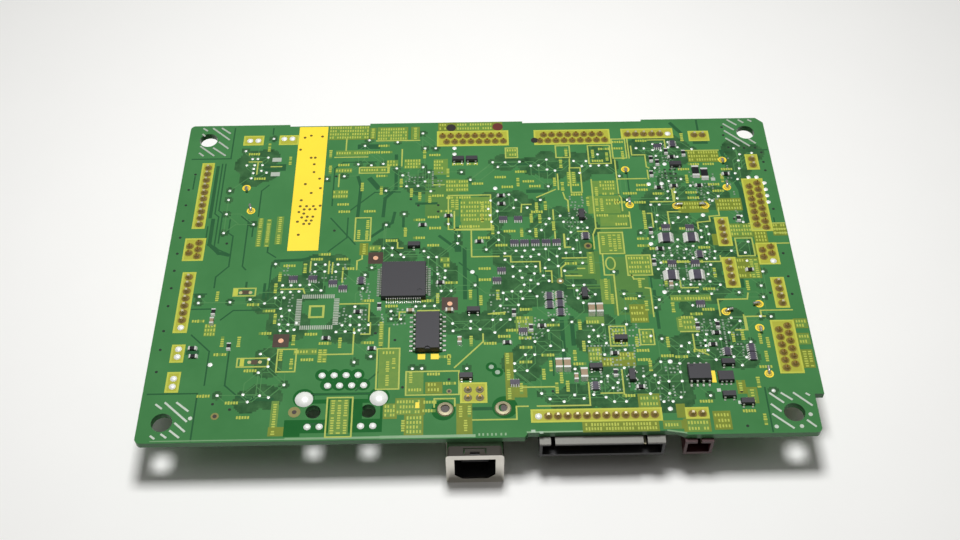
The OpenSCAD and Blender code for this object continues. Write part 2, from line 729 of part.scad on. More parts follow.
module transistor_bodies() {
    color("#2c2c30") for (p = sot_places) on_top(p) translate([0, 0, 0.1])
        drafted_block(sot_l, sot_w, sot_h, 0.1);
    color("#2c2c30") on_top(dual_place) translate([0, 0, 0.1])
        drafted_block(dual_l, dual_w, dual_h, 0.1);
}
module transistor_leads() {
    color("silver") for (p = sot_places) on_top(p) {
        for (i = [-1, 1]) translate([i * sot_pitch, -sot_w / 2, 0]) rotate([0, 0, -90])
            gull_lead(0.1 + sot_h / 2, 0.55, 0.3, 0.4, 0.12);
        translate([0, sot_w / 2, 0]) rotate([0, 0, 90])
            gull_lead(0.1 + sot_h / 2, 0.55, 0.3, 0.4, 0.12);
    }
    color("silver") on_top(dual_place) rotate([0, 0, 90])
        lead_rows(3, sot_pitch, dual_w, 0.1 + dual_h / 2, 0.6, 0.35, 0.4, 0.12);
}

// --- Chip resistors and capacitors ------------------------------------------------------
small_chip_l = 1.6;
small_chip_w = 0.8;
resistor_h = 0.45;
capacitor_h = 0.8;
big_chip_l = 2.4;
big_chip_w = 1.4;
big_chip_h = 1.2;
resistor_places = [for (p = [[9, 23.3, 0], [9.4, 21.2, 0], [16.8, 23.7, 90], [12.4, 33, 90],
    [76.7, 66.1, 0], [76.7, 63.5, 0], [37.6, 25.4, 0], [47.65, 22.5, 0],
    [118.6, 77.9, 0], [121.6, 79.2, 90], [114.9, 76.2, 90],
    [113.5, 77.4, 90], [117.4, 79.9, 90], [113.1, 72.5, 90], [118.1, 68.4, 0],
    [114.4, 67.9, 0], [124.1, 68.4, 0], [131, 72, 0], [58.2, 57.3, 0], [64.2, 60, 0],
    [71.3, 52, 0], [62.4, 40.2, 0], [48.9, 33.9, 90], [111.1, 54.6, 90],
    [110.9, 45.2, 90], [112.7, 49, 0], [132, 57.9, 90], [132.3, 42.5, 0], [84.6, 27.8, 0],
    [82.2, 27.4, 90], [76.9, 23.5, 0], [99.9, 20.2, 0], [99.6, 15.3, 90], [104.6, 11.6, 0],
    [118.5, 27.2, 90], [121.2, 22.1, 0], [122.4, 25.2, 0], [122.9, 27.4, 90],
    [44.2, 32.4, 0], [78.6, 31.6, 90]]) spread(p)];
capacitor_places = [for (p = [[66.6, 24.2, 90], [12.4, 30.4, 90], [114, 38.5, 90],
    [55.8, 32.3, 0], [64.4, 32.3, 0], [91.2, 14.2, 90]]) spread(p)];
big_capacitor_places = [for (p = [[95.7, 31.9, 90], [97.5, 31.9, 90], [87.7, 17.4, 90],
    [89.45, 17.4, 90], [92.9, 14.9, 90]]) spread(p)];
// Two long resistors beside the supply's heat vias.
long_chip_l = 3.2;
long_chip_w = 1.6;
long_resistor_places = [for (p = [[123.8, 73.05, 90], [125.85, 72.25, 90]]) spread(p)];

module chip_resistor_bodies() {
    color("#2a2a2e") for (p = resistor_places) on_top(p)
        chip_ceramic(small_chip_l, small_chip_w, resistor_h, 0.3);
    color("#2a2a2e") for (p = long_resistor_places) on_top(p)
        chip_ceramic(long_chip_l, long_chip_w, resistor_h + 0.1, 0.5);
}
module chip_resistor_ends() {
    color("silver") for (p = resistor_places) on_top(p)
        chip_end_pair(small_chip_l, small_chip_w, resistor_h, 0.3, 0.25);
    color("silver") for (p = long_resistor_places) on_top(p)
        chip_end_pair(long_chip_l, long_chip_w, resistor_h + 0.1, 0.5, 0.4);
}
module chip_capacitor_bodies() {
    color("tan") {
        for (p = capacitor_places) on_top(p)
            chip_ceramic(small_chip_l, small_chip_w, capacitor_h, 0.35);
        for (p = big_capacitor_places) on_top(p)
            chip_ceramic(big_chip_l, big_chip_w, big_chip_h, 0.45);
    }
}
module chip_capacitor_ends() {
    color("silver") {
        for (p = capacitor_places) on_top(p)
            chip_end_pair(small_chip_l, small_chip_w, capacitor_h, 0.35, 0.25);
        for (p = big_capacitor_places) on_top(p)
            chip_end_pair(big_chip_l, big_chip_w, big_chip_h, 0.45, 0.4);
    }
}

// Four resistors in one ceramic, with four notched ends on each long side.
array_l = 2;
array_w = 1.2;
array_h = 0.45;
array_pitch = 0.5;
array_places = [for (p = [[29.3, 42, 0], [33.7, 42, 0], [38.3, 40.6, 0], [40.6, 39.1, 0],
    [77, 58.8, 0], [80.5, 58.8, 0], [76.2, 43.5, 0], [75.1, 40.7, 0], [79.4, 51.6, 0],
    [81.7, 51.6, 0], [84.2, 51.6, 0], [86.7, 51.6, 0], [89.1, 51.6, 0], [95.1, 12, 90],
    [80.4, 26.6, 0], [78.2, 13.2, 0], [129.3, 21.1, 90], [129.3, 18.9, 90],
    [124, 20.2, 90], [44.6, 41.1, 90], [114.7, 55.6, 0], [120.2, 55.4, 0],
    [114.9, 44.8, 0], [120.2, 44.8, 0], [119.9, 33.3, 0], [121.5, 47.2, 90],
    [119.3, 82.3, 90], [115.5, 81.6, 0], [86.6, 35.9, 90], [86.6, 33.5, 90],
    [88.9, 36.2, 90], [88.9, 33.8, 90], [88.9, 31.4, 90], [95.9, 53.2, 90]]) spread(p)];

module resistor_array_bodies() {
    color("#2a2a2e") for (p = array_places) on_top(p)
        translate([-array_l / 2, -array_w / 2, pad_t]) cube([array_l, array_w, array_h]);
}
module resistor_array_ends() {
    color("silver") for (p = array_places) on_top(p)
        for (side = [0, 180], i = [-1.5:1:1.5]) rotate([0, 0, side])
            translate([i * array_pitch, array_w / 2, 0]) rotate([90, 0, 90])
                linear_extrude(0.28, center = true)
                    polygon([[0, 0], [0.45, 0], [0.4, 0.1], [0.05, array_h], [0, array_h]]);
}

// Wide low-value resistors that measure the motor current.
sense_l = 2.4;
sense_w = 2.6;
sense_h = 0.6;
sense_places = [for (x = [114.4, 120.2], y = [41.2, 52.2]) spread([x, y, 0])];

module sense_resistor_bodies() {
    color("#3a3444") for (p = sense_places) on_top(p)
        chip_ceramic(sense_l, sense_w, sense_h, 0.35);
}
module sense_resistor_ends() {
    color("silver") for (p = sense_places) on_top(p)
        chip_end_pair(sense_l, sense_w, sense_h, 0.35, 0.6);
}

// --- Axial chokes -----------------------------------------------------------------------
choke_shoulder = 0.8;
choke_lead_out = 1.1;
clinch_r = 0.5;
clinch_l = 1;

// Drum with rounded ends, lying along X just clear of the board.
module choke_bodies() {
    color("darkolivegreen") for (c = chokes) hang(c[0])
        translate([0, 0, choke_d / 2 + 0.2]) rotate([0, 90, 0]) rotate_extrude()
            choke_profile(c[1] - 2 * choke_lead_out, choke_d / 2);
}
module choke_profile(l, r) {
    translate([0, -l / 2 + choke_shoulder]) square([r, l - 2 * choke_shoulder]);
    translate([0, -l / 2]) square([r - choke_shoulder, l]);
    for (s = [-1, 1]) translate([r - choke_shoulder, s * (l / 2 - choke_shoulder)])
        intersection() {
            circle(choke_shoulder);
            translate([0, s > 0 ? 0 : -choke_shoulder])
                square([choke_shoulder, choke_shoulder]);
        }
}

// Quarter turn of the lead wire, from pointing up to pointing along X.
module wire_bend(r) {
    translate([r, 0, 0]) rotate([90, 0, 0]) rotate([0, 0, 90]) rotate_extrude(angle = 90)
        translate([r, 0]) circle(d = choke_lead_d);
}

module choke_leads() {
    drum_z = choke_d / 2 + 0.2;
    color("silver") for (c = chokes, s = [0, 180]) hang(c[0]) rotate([0, 0, s])
        translate([c[1] / 2, 0, 0]) {
            translate([-choke_lead_out, 0, drum_z]) rotate([0, 90, 0])
                cylinder(d = choke_lead_d, h = choke_lead_out - clinch_r);
            translate([0, 0, drum_z - clinch_r]) mirror([1, 0, 0]) wire_bend(clinch_r);
            translate([0, 0, -board_t - 0.2])
                cylinder(d = choke_lead_d, h = drum_z - clinch_r + board_t + 0.2);
            translate([0, 0, -board_t - 0.2]) mirror([0, 0, 1]) mirror([1, 0, 0])
                wire_bend(clinch_r);
            translate([-clinch_r - clinch_l, 0, -board_t - 0.2 - clinch_r])
                rotate([0, 90, 0]) cylinder(d = choke_lead_d, h = clinch_l);
        }
}

module choke_solder() {
    color("silver") for (p = choke_lead_spots) on_top(p) translate([0, 0, -board_t])
        rotate_extrude() polygon([[choke_lead_d / 2, 0], [pin_hole_d / 2, 0],
            [pin_hole_d / 2, board_t], [solder_d / 2, board_t], [solder_d / 2 - 0.1, board_t + 0.15],
            [choke_lead_d / 2, board_t + 0.18]]);
}

// --- Surface-mounted capacitors ---------------------------------------------------------
can_base_h = 1.2;
can_base_side = can_d + 0.3;
can_corner = 1.6;
can_tab_w = 0.9;
can_places = [up_left([22, 77, 0]), up_left([14, 20, 90]), spread([113.3, 26, 0]),
    from_rear_right([19.5, 12.5, 0]), from_right([17, 20.5, 0])];

// Moulded base with two cut corners, a dish for the can, and grooves for the two terminals.
module capacitor_bases() {
    s = can_base_side / 2;
    color("#1c1c1e") for (p = can_places) hang(p) difference() {
        linear_extrude(can_base_h) polygon([[-s, -s], [s - can_corner, -s],
            [s, can_corner - s], [s, s - can_corner], [s - can_corner, s], [-s, s]]);
        capacitor_terminal_shapes();
    }
}
module capacitor_terminal_shapes() {
    for (side = [0, 180]) rotate([0, 0, side]) {
        translate([1, -can_tab_w / 2, 0]) cube([can_base_side / 2 - 0.4, can_tab_w, 0.2]);
        translate([1, -can_tab_w / 2, 0]) cube([0.2, can_tab_w, can_base_h]);
    }
}
module capacitor_terminals() {
    color("silver") for (p = can_places) hang(p) capacitor_terminal_shapes();
}
// Can with its rolled groove above the base and a rounded top edge.
module capacitor_cans() {
    r = can_d / 2;
    color("silver") for (p = can_places) hang(p) translate([0, 0, can_base_h]) rotate_extrude()
        polygon(concat([[0, 0], [r - 0.3, 0], [r, 0.4], [r, 0.9], [r - 0.35, 1.25], [r, 1.6]],
            [for (a = [0:15:90]) [r - 0.5 + 0.5 * cos(a), can_h - can_base_h - 0.5 + 0.5 * sin(a)]],
            [[0, can_h - can_base_h]]));
}

// --- Processor, memory and drivers under the board --------------------------------------
processor_place = spread([84.8, 48.5, 0]);
processor_h = 1.4;
ball_d = 0.6;
ball_h = 0.4;
ball_rows = 12;

module processor_body() {
    color("#26262a") hang(processor_place) translate([0, 0, ball_h]) {
        translate([0, 0, 0.3]) linear_extrude(0.4)
            square(processor_side, center = true);
        linear_extrude(0.3 + eps) square(processor_side, center = true);
        translate([0, 0, 0.7 - eps]) linear_extrude(processor_h - 0.7)
            round_rect(processor_side - 1.4, processor_side - 1.4, 0.6);
    }
}
module processor_balls() {
    pitch = (processor_side - 2) / (ball_rows - 1);
    color("silver") hang(processor_place)
        for (i = [0:ball_rows - 1], j = [0:ball_rows - 1])
            translate([(i - (ball_rows - 1) / 2) * pitch, (j - (ball_rows - 1) / 2) * pitch, 0])
                cylinder(d = ball_d, h = ball_h, $fn = 16);
}

memory_place = spread([46, 63, 0]);
memory_h = 1;
memory_leads = 27;
memory_pitch = 0.8;

module memory_body() {
    color("#26262a") hang(memory_place) difference() {
        translate([0, 0, 0.1]) drafted_block(memory_l, memory_w, memory_h, 0.1);
        translate([1.2 - memory_l / 2, 1.2 - memory_w / 2, memory_h]) cylinder(d = 1, h = 1);
    }
}
module memory_leads() {
    color("silver") hang(memory_place) rotate([0, 0, 90])
        lead_rows(memory_leads, memory_pitch, memory_w, 0.1 + memory_h / 2, 0.8, 0.5, 0.3, 0.12);
}

// Leadless power packages: motor driver and supply regulator, each on its heat pad.
driver_places = [spread([117.3, 47, 0]), from_rear_right([25.1, 18.7, 0])];
driver_sides = [7, 4];
driver_h = 0.9;
driver_pad_h = 0.1;

module driver_bodies() {
    color("#26262a") for (i = [0, 1]) hang(driver_places[i])
        translate([0, 0, driver_pad_h]) linear_extrude(driver_h)
            round_rect(driver_sides[i], driver_sides[i], 0.3);
}
module driver_pads() {
    color("silver") for (i = [0, 1]) hang(driver_places[i]) {
        side = driver_sides[i];
        linear_extrude(driver_pad_h) square(side - 2, center = true);
        for (turn = [0:90:270], k = [-(side - 2):1:side - 2]) rotate([0, 0, turn])
            translate([side / 2 - 0.6, k * 0.5 - 0.12, 0]) cube([0.6, 0.24, driver_pad_h]);
    }
}

// Shielded drum choke of the supply.
inductor_place = spread([112.8, 60.5, 0]);
inductor_side = 6;
inductor_h = 3;

module power_inductor() {
    color("#3a3a3c") hang(inductor_place) difference() {
        linear_extrude(inductor_h) round_rect(inductor_side, inductor_side, 1);
        translate([0, 0, inductor_h - 0.3]) rotate_extrude()
            translate([inductor_side / 2 - 1, 0]) square([0.4, 1]);
    }
}

crystal_place = spread([64, 70, 0]);
crystal_l = 11;
crystal_w = 4.6;
crystal_h = 3.6;

module crystal_can() {
    color("silver") hang(crystal_place) {
        linear_extrude(0.5) round_rect(crystal_l, crystal_w, crystal_w / 2 - 0.01);
        linear_extrude(crystal_h)
            round_rect(crystal_l - 0.8, crystal_w - 0.8, crystal_w / 2 - 0.41);
    }
}

circuit_board();
usb_shell();
usb_insulator();
usb_contacts();
left_header_10way();
left_header_7way();
rear_header_5way();
rear_header_2way();
right_header_2way();
right_header_4way();
middle_header_rear();
middle_header_front();
front_header_12way();
front_header_lock();
front_header_2way();
left_flex_5way();
rear_flex_16way();
rear_flex_17way();
right_flex_15way();
right_flex_4way();
right_flex_12way();
header_pins();
front_header_pins();
flex_contacts();
header_solder();
flex_solder();
usb_solder();
filled_pads();
big_filled_pads();
qfp_body();
qfp_leads();
wide_ic_body();
wide_ic_leads();
small_ic_body();
small_ic_leads();
transistor_bodies();
transistor_leads();
chip_resistor_bodies();
chip_resistor_ends();
chip_capacitor_bodies();
chip_capacitor_ends();
resistor_array_bodies();
resistor_array_ends();
sense_resistor_bodies();
sense_resistor_ends();
choke_bodies();
choke_leads();
choke_solder();
capacitor_bases();
capacitor_cans();
capacitor_terminals();
processor_body();
processor_balls();
memory_body();
memory_leads();
driver_bodies();
driver_pads();
power_inductor();
crystal_can();
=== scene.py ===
import math

import bpy
from mathutils import Euler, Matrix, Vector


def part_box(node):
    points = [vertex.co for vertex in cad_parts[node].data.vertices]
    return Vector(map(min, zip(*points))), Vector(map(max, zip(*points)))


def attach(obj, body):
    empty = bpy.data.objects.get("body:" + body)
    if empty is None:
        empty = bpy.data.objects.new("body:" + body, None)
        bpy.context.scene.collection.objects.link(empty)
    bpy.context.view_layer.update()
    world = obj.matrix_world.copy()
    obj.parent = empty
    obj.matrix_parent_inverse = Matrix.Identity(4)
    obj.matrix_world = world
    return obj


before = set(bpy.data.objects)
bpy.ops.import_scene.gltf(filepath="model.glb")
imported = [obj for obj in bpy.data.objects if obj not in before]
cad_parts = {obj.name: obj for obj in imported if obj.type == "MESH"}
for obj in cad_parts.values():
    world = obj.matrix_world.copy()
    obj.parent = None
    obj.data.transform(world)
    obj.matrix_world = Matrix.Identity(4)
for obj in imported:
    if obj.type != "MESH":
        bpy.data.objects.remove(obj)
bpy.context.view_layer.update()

# --- Camera ---
# The board is seen from above its USB edge, from about 290 mm, with a long lens.
# The three angles tip the camera down to the board and level it to the USB edge.
eye = bpy.data.objects.new("eye", bpy.data.cameras.new("eye"))
eye.location = (-0.00198, -0.17293, 0.22940)
eye.rotation_euler = Euler([math.radians(a) for a in (38.549, 0.260, -0.964)])
eye.data.sensor_width = 36
eye.data.lens = 45.93
eye.data.clip_start = 0.01
bpy.context.collection.objects.link(eye)
bpy.context.scene.camera = eye
bpy.context.scene.view_settings.view_transform = "Standard"


# --- Table and light ---
# The table is a sheet of matt white card, lit by a dim room and by one small lamp that hangs over
# the rear half of the board, so that the shadow falls forward under the USB edge.
def linear(hex_code):
    """An sRGB hex colour as linear red, green, blue and full alpha."""
    parts = [int(hex_code[i:i + 2], 16) / 255 for i in (1, 3, 5)]
    return [v / 12.92 if v <= 0.04045 else ((v + 0.055) / 1.055) ** 2.4 for v in parts] + [1.0]


def add(tree, kind, sockets=None, links=None, **settings):
    """Adds a node, sets its properties and sockets, and links its inputs from other outputs."""
    node = tree.nodes.new(kind)
    for key, value in settings.items():
        setattr(node, key, value)
    for key, value in (sockets or {}).items():
        node.inputs[key].default_value = value
    for key, output in (links or {}).items():
        tree.links.new(output, node.inputs[key])
    return node


def surface(name, colours, grain, rough, bump=0.0, metallic=0.0, stretch=(1, 1, 1), **sockets):
    """A finish whose colour and roughness wander between two values over a grain in millimetres."""
    made = bpy.data.materials.new(name)
    made.use_nodes = True
    tree = made.node_tree
    shader = tree.nodes["Principled BSDF"]
    shader.inputs["Metallic"].default_value = metallic
    for key, value in sockets.items():
        shader.inputs[key.replace("_", " ")].default_value = value
    place = add(tree, "ShaderNodeTexCoord")
    scaled = add(tree, "ShaderNodeMapping", {"Scale": stretch}, {"Vector": place.outputs["Object"]})
    noise = add(tree, "ShaderNodeTexNoise", {"Scale": 1000 / grain, "Detail": 3.0, "Roughness": 0.6},
                {"Vector": scaled.outputs["Vector"]})
    mix = add(tree, "ShaderNodeMix", {"A": linear(colours[0]), "B": linear(colours[1])},
              {"Factor": noise.outputs["Fac"]}, data_type="RGBA")
    tree.links.new(mix.outputs["Result"], shader.inputs["Base Color"])
    worn = add(tree, "ShaderNodeMapRange", {"To Min": rough[0], "To Max": rough[1]},
               {"Value": noise.outputs["Fac"]})
    tree.links.new(worn.outputs["Result"], shader.inputs["Roughness"])
    if bump:
        relief = add(tree, "ShaderNodeBump", {"Strength": 0.6, "Distance": bump / 1000},
                     {"Height": noise.outputs["Fac"]})
        tree.links.new(relief.outputs["Normal"], shader.inputs["Normal"])
    return made


def seen(tree):
    """1 for what the eye sees, straight or by a reflection, and 0 for the light that falls on things."""
    ray = add(tree, "ShaderNodeLightPath")
    bent = add(tree, "ShaderNodeMath", None,
               {0: ray.outputs["Is Glossy Ray"], 1: ray.outputs["Is Transmission Ray"]}, operation="MAXIMUM")
    return add(tree, "ShaderNodeMath", None, {0: ray.outputs["Is Camera Ray"], 1: bent.outputs[0]},
               operation="MAXIMUM").outputs[0]


# Matt card: a soft white with a faint fibre mottle, and no gloss.
matt_card = surface("matt_card", ("#F1F1EF", "#F4F4F2"), grain=30, rough=(0.85, 0.95),
                    Specular_IOR_Level=0.2, Emission_Color=(1, 1, 0.98, 1))
# Far from the board, where the lamp's light gives out, the card is kept pale for the eye alone.
tree = matt_card.node_tree
spot = add(tree, "ShaderNodeNewGeometry")
away = add(tree, "ShaderNodeVectorMath", None, {0: spot.outputs["Position"]}, operation="LENGTH")
fade = add(tree, "ShaderNodeMapRange", {"From Min": 0.3, "From Max": 0.85, "To Max": 0.6},
           {"Value": away.outputs["Value"]}, interpolation_type="SMOOTHSTEP")
glow = add(tree, "ShaderNodeMath", None, {0: fade.outputs["Result"], 1: seen(tree)}, operation="MULTIPLY")
tree.links.new(glow.outputs[0], tree.nodes["Principled BSDF"].inputs["Emission Strength"])
HALF = 1.6
card = bpy.data.meshes.new("table")
card.from_pydata([(-HALF, -HALF, 0), (HALF, -HALF, 0), (HALF, HALF, 0), (-HALF, HALF, 0)], [], [(0, 1, 2, 3)])
table = bpy.data.objects.new("table", card)
card.materials.append(matt_card)
bpy.context.collection.objects.link(table)

# The room is dim, so flat metal shows dark beside the bright lamp and the pale table: (height, tone).
room = bpy.data.worlds.new("room")
bpy.context.scene.world = room
room.use_nodes = True
sky = room.node_tree
aim = add(sky, "ShaderNodeTexCoord")
height = add(sky, "ShaderNodeSeparateXYZ", None, {"Vector": aim.outputs["Generated"]})
walls = add(sky, "ShaderNodeValToRGB", None, {"Fac": height.outputs["Z"]})
for place, tone in ((0.0, 0.008), (0.4, 0.02), (0.86, 0.06), (1.0, 0.12)):
    stop = walls.color_ramp.elements.new(place) if 0 < place < 1 else walls.color_ramp.elements[int(place)]
    stop.color = (tone, tone * 0.95, tone * 0.86, 1)
dim = add(sky, "ShaderNodeBackground", {"Strength": 1.0}, {"Color": walls.outputs["Color"]})
# Just over the table's far edge stands a wall as pale as the card.
wall = add(sky, "ShaderNodeBackground", {"Color": (0.7, 0.7, 0.69, 1), "Strength": 1.0})
band = add(sky, "ShaderNodeMapRange", {"From Min": 0.12, "From Max": 0.3, "To Min": 1.0, "To Max": 0.0},
           {"Value": height.outputs["Z"]})
near = add(sky, "ShaderNodeMath", None, {0: band.outputs["Result"], 1: seen(sky)}, operation="MULTIPLY")
both = add(sky, "ShaderNodeMixShader", None,
           {0: near.outputs[0], 1: dim.outputs["Background"], 2: wall.outputs["Background"]})
sky.links.new(both.outputs[0], sky.nodes["World Output"].inputs["Surface"])
lamp = bpy.data.objects.new("roof_lamp", bpy.data.lights.new("roof_lamp", "AREA"))
lamp.data.size = 0.085
lamp.data.energy = 1.12
lamp.location = (-0.004, 0.030, 0.34)
bpy.context.collection.objects.link(lamp)


# --- Laminate ---
# Glass-fibre laminate, 1.6 mm thick, routed from a panel and coated on both faces with green
# liquid solder mask. The mask is a glossy lacquer, which has also run down the routed edge.
def dress(material, *nodes):
    """Gives CAD nodes their finish."""
    for node in nodes:
        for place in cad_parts[node].material_slots:
            place.material = material


# Liquid solder mask: a glossy green lacquer over matt glass cloth, so its gloss is sharp but weak.
MASK_GLOSS = 0.16
solder_mask = surface("solder_mask", ("#3B7241", "#4A824F"), grain=9, rough=(0.12, 0.18),
                      Specular_IOR_Level=MASK_GLOSS)
tree = solder_mask.node_tree
shader = tree.nodes["Principled BSDF"]
mask_colour = shader.inputs["Base Color"].links[0].from_socket
facing = add(tree, "ShaderNodeNewGeometry")
upright = add(tree, "ShaderNodeSeparateXYZ", None, {"Vector": facing.outputs["True Normal"]})
flat = add(tree, "ShaderNodeMath", None, {0: upright.outputs["Z"]}, operation="ABSOLUTE")
on_face = add(tree, "ShaderNodeMath", {1: 0.5}, {0: flat.outputs[0]}, operation="GREATER_THAN")
routed = add(tree, "ShaderNodeMix", {"A": linear("#44704A")},
             {"Factor": on_face.outputs[0], "B": mask_colour}, data_type="RGBA")
tree.links.new(routed.outputs["Result"], shader.inputs["Base Color"])
dress(solder_mask, "circuit_board")

# Places on the board are in millimetres from a datum on its front edge, 0.7 mm in from the left end.
board_low, board_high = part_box("circuit_board")
TOP, UNDER = board_high.z, round(board_low.z, 4)
DATUM_X, DATUM_Y = round(board_low.x * 1000, 1) + 0.7, round(board_low.y * 1000, 1)


def at(x, y, up=0.0, under=False):
    """A point over or under the laminate, from a place in millimetres and a height off its face."""
    return ((x + DATUM_X) / 1000, (y + DATUM_Y) / 1000, UNDER - up / 1000 if under else TOP + up / 1000)


def box(x0, y0, x1, y1):
    """The outline of a rectangle."""
    return [(x0, y0), (x1, y0), (x1, y1), (x0, y1)]


def boxes(table):
    return [box(*b) for b in table]


def bar(x0, y0, x1, y1, width):
    """The outline of a straight stroke."""
    long = math.hypot(x1 - x0, y1 - y0) or 1
    ax, ay = (y0 - y1) / long * width / 2, (x1 - x0) / long * width / 2
    return [(x0 - ax, y0 - ay), (x1 - ax, y1 - ay), (x1 + ax, y1 + ay), (x0 + ax, y0 + ay)]


def run(points, width):
    """The strokes of a line through points, each drawn a little long so that corners close."""
    strokes = []
    for (x0, y0), (x1, y1) in zip(points, points[1:]):
        long = math.hypot(x1 - x0, y1 - y0) or 1
        ux, uy = (x1 - x0) / long * width / 2, (y1 - y0) / long * width / 2
        strokes.append(bar(x0 - ux, y0 - uy, x1 + ux, y1 + uy, width))
    return strokes


def runs(lines, width):
    return [stroke for points in lines for stroke in run(points, width)]


def rim(x0, y0, x1, y1, width):
    """The strokes of a rectangular frame."""
    return run([(x0, y0), (x1, y0), (x1, y1), (x0, y1), (x0, y0)], width)


def disc(x, y, r, sides=14):
    """The outline of a disc."""
    return [(x + r * math.cos(i * 2 * math.pi / sides), y + r * math.sin(i * 2 * math.pi / sides))
            for i in range(sides)]


def lay(name, points, faces, material, smooth=False):
    """Makes a piece that rides on the board."""
    mesh = bpy.data.meshes.new(name)
    mesh.from_pydata(points, [], faces)
    if smooth:
        mesh.shade_smooth()
    mesh.materials.append(material)
    piece = bpy.data.objects.new(name, mesh)
    bpy.context.collection.objects.link(piece)
    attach(piece, "root")


STAGGER, LEVELS = 0.0008, 5


def film(name, outlines, material, thick, under=False):
    """A coating of flat islands on one face of the laminate, its thickness in millimetres. Islands
    that overlap differ a little in height, so that no two faces lie in one plane."""
    points, faces = [], []
    for k, outline in enumerate(outlines):
        n, first = len(outline), len(points)
        high = thick + STAGGER * (k % LEVELS)
        points += [at(x, y, high, under) for x, y in outline] + [at(x, y, 0, under) for x, y in outline]
        top = [first + i for i in range(n)]
        faces.append(top[::-1] if under else top)
        for i in range(n):
            a, b = first + i, first + (i + 1) % n
            faces.append((b, a, a + n, b + n) if under else (a, a + n, b + n, b))
    lay(name, points, faces, material)


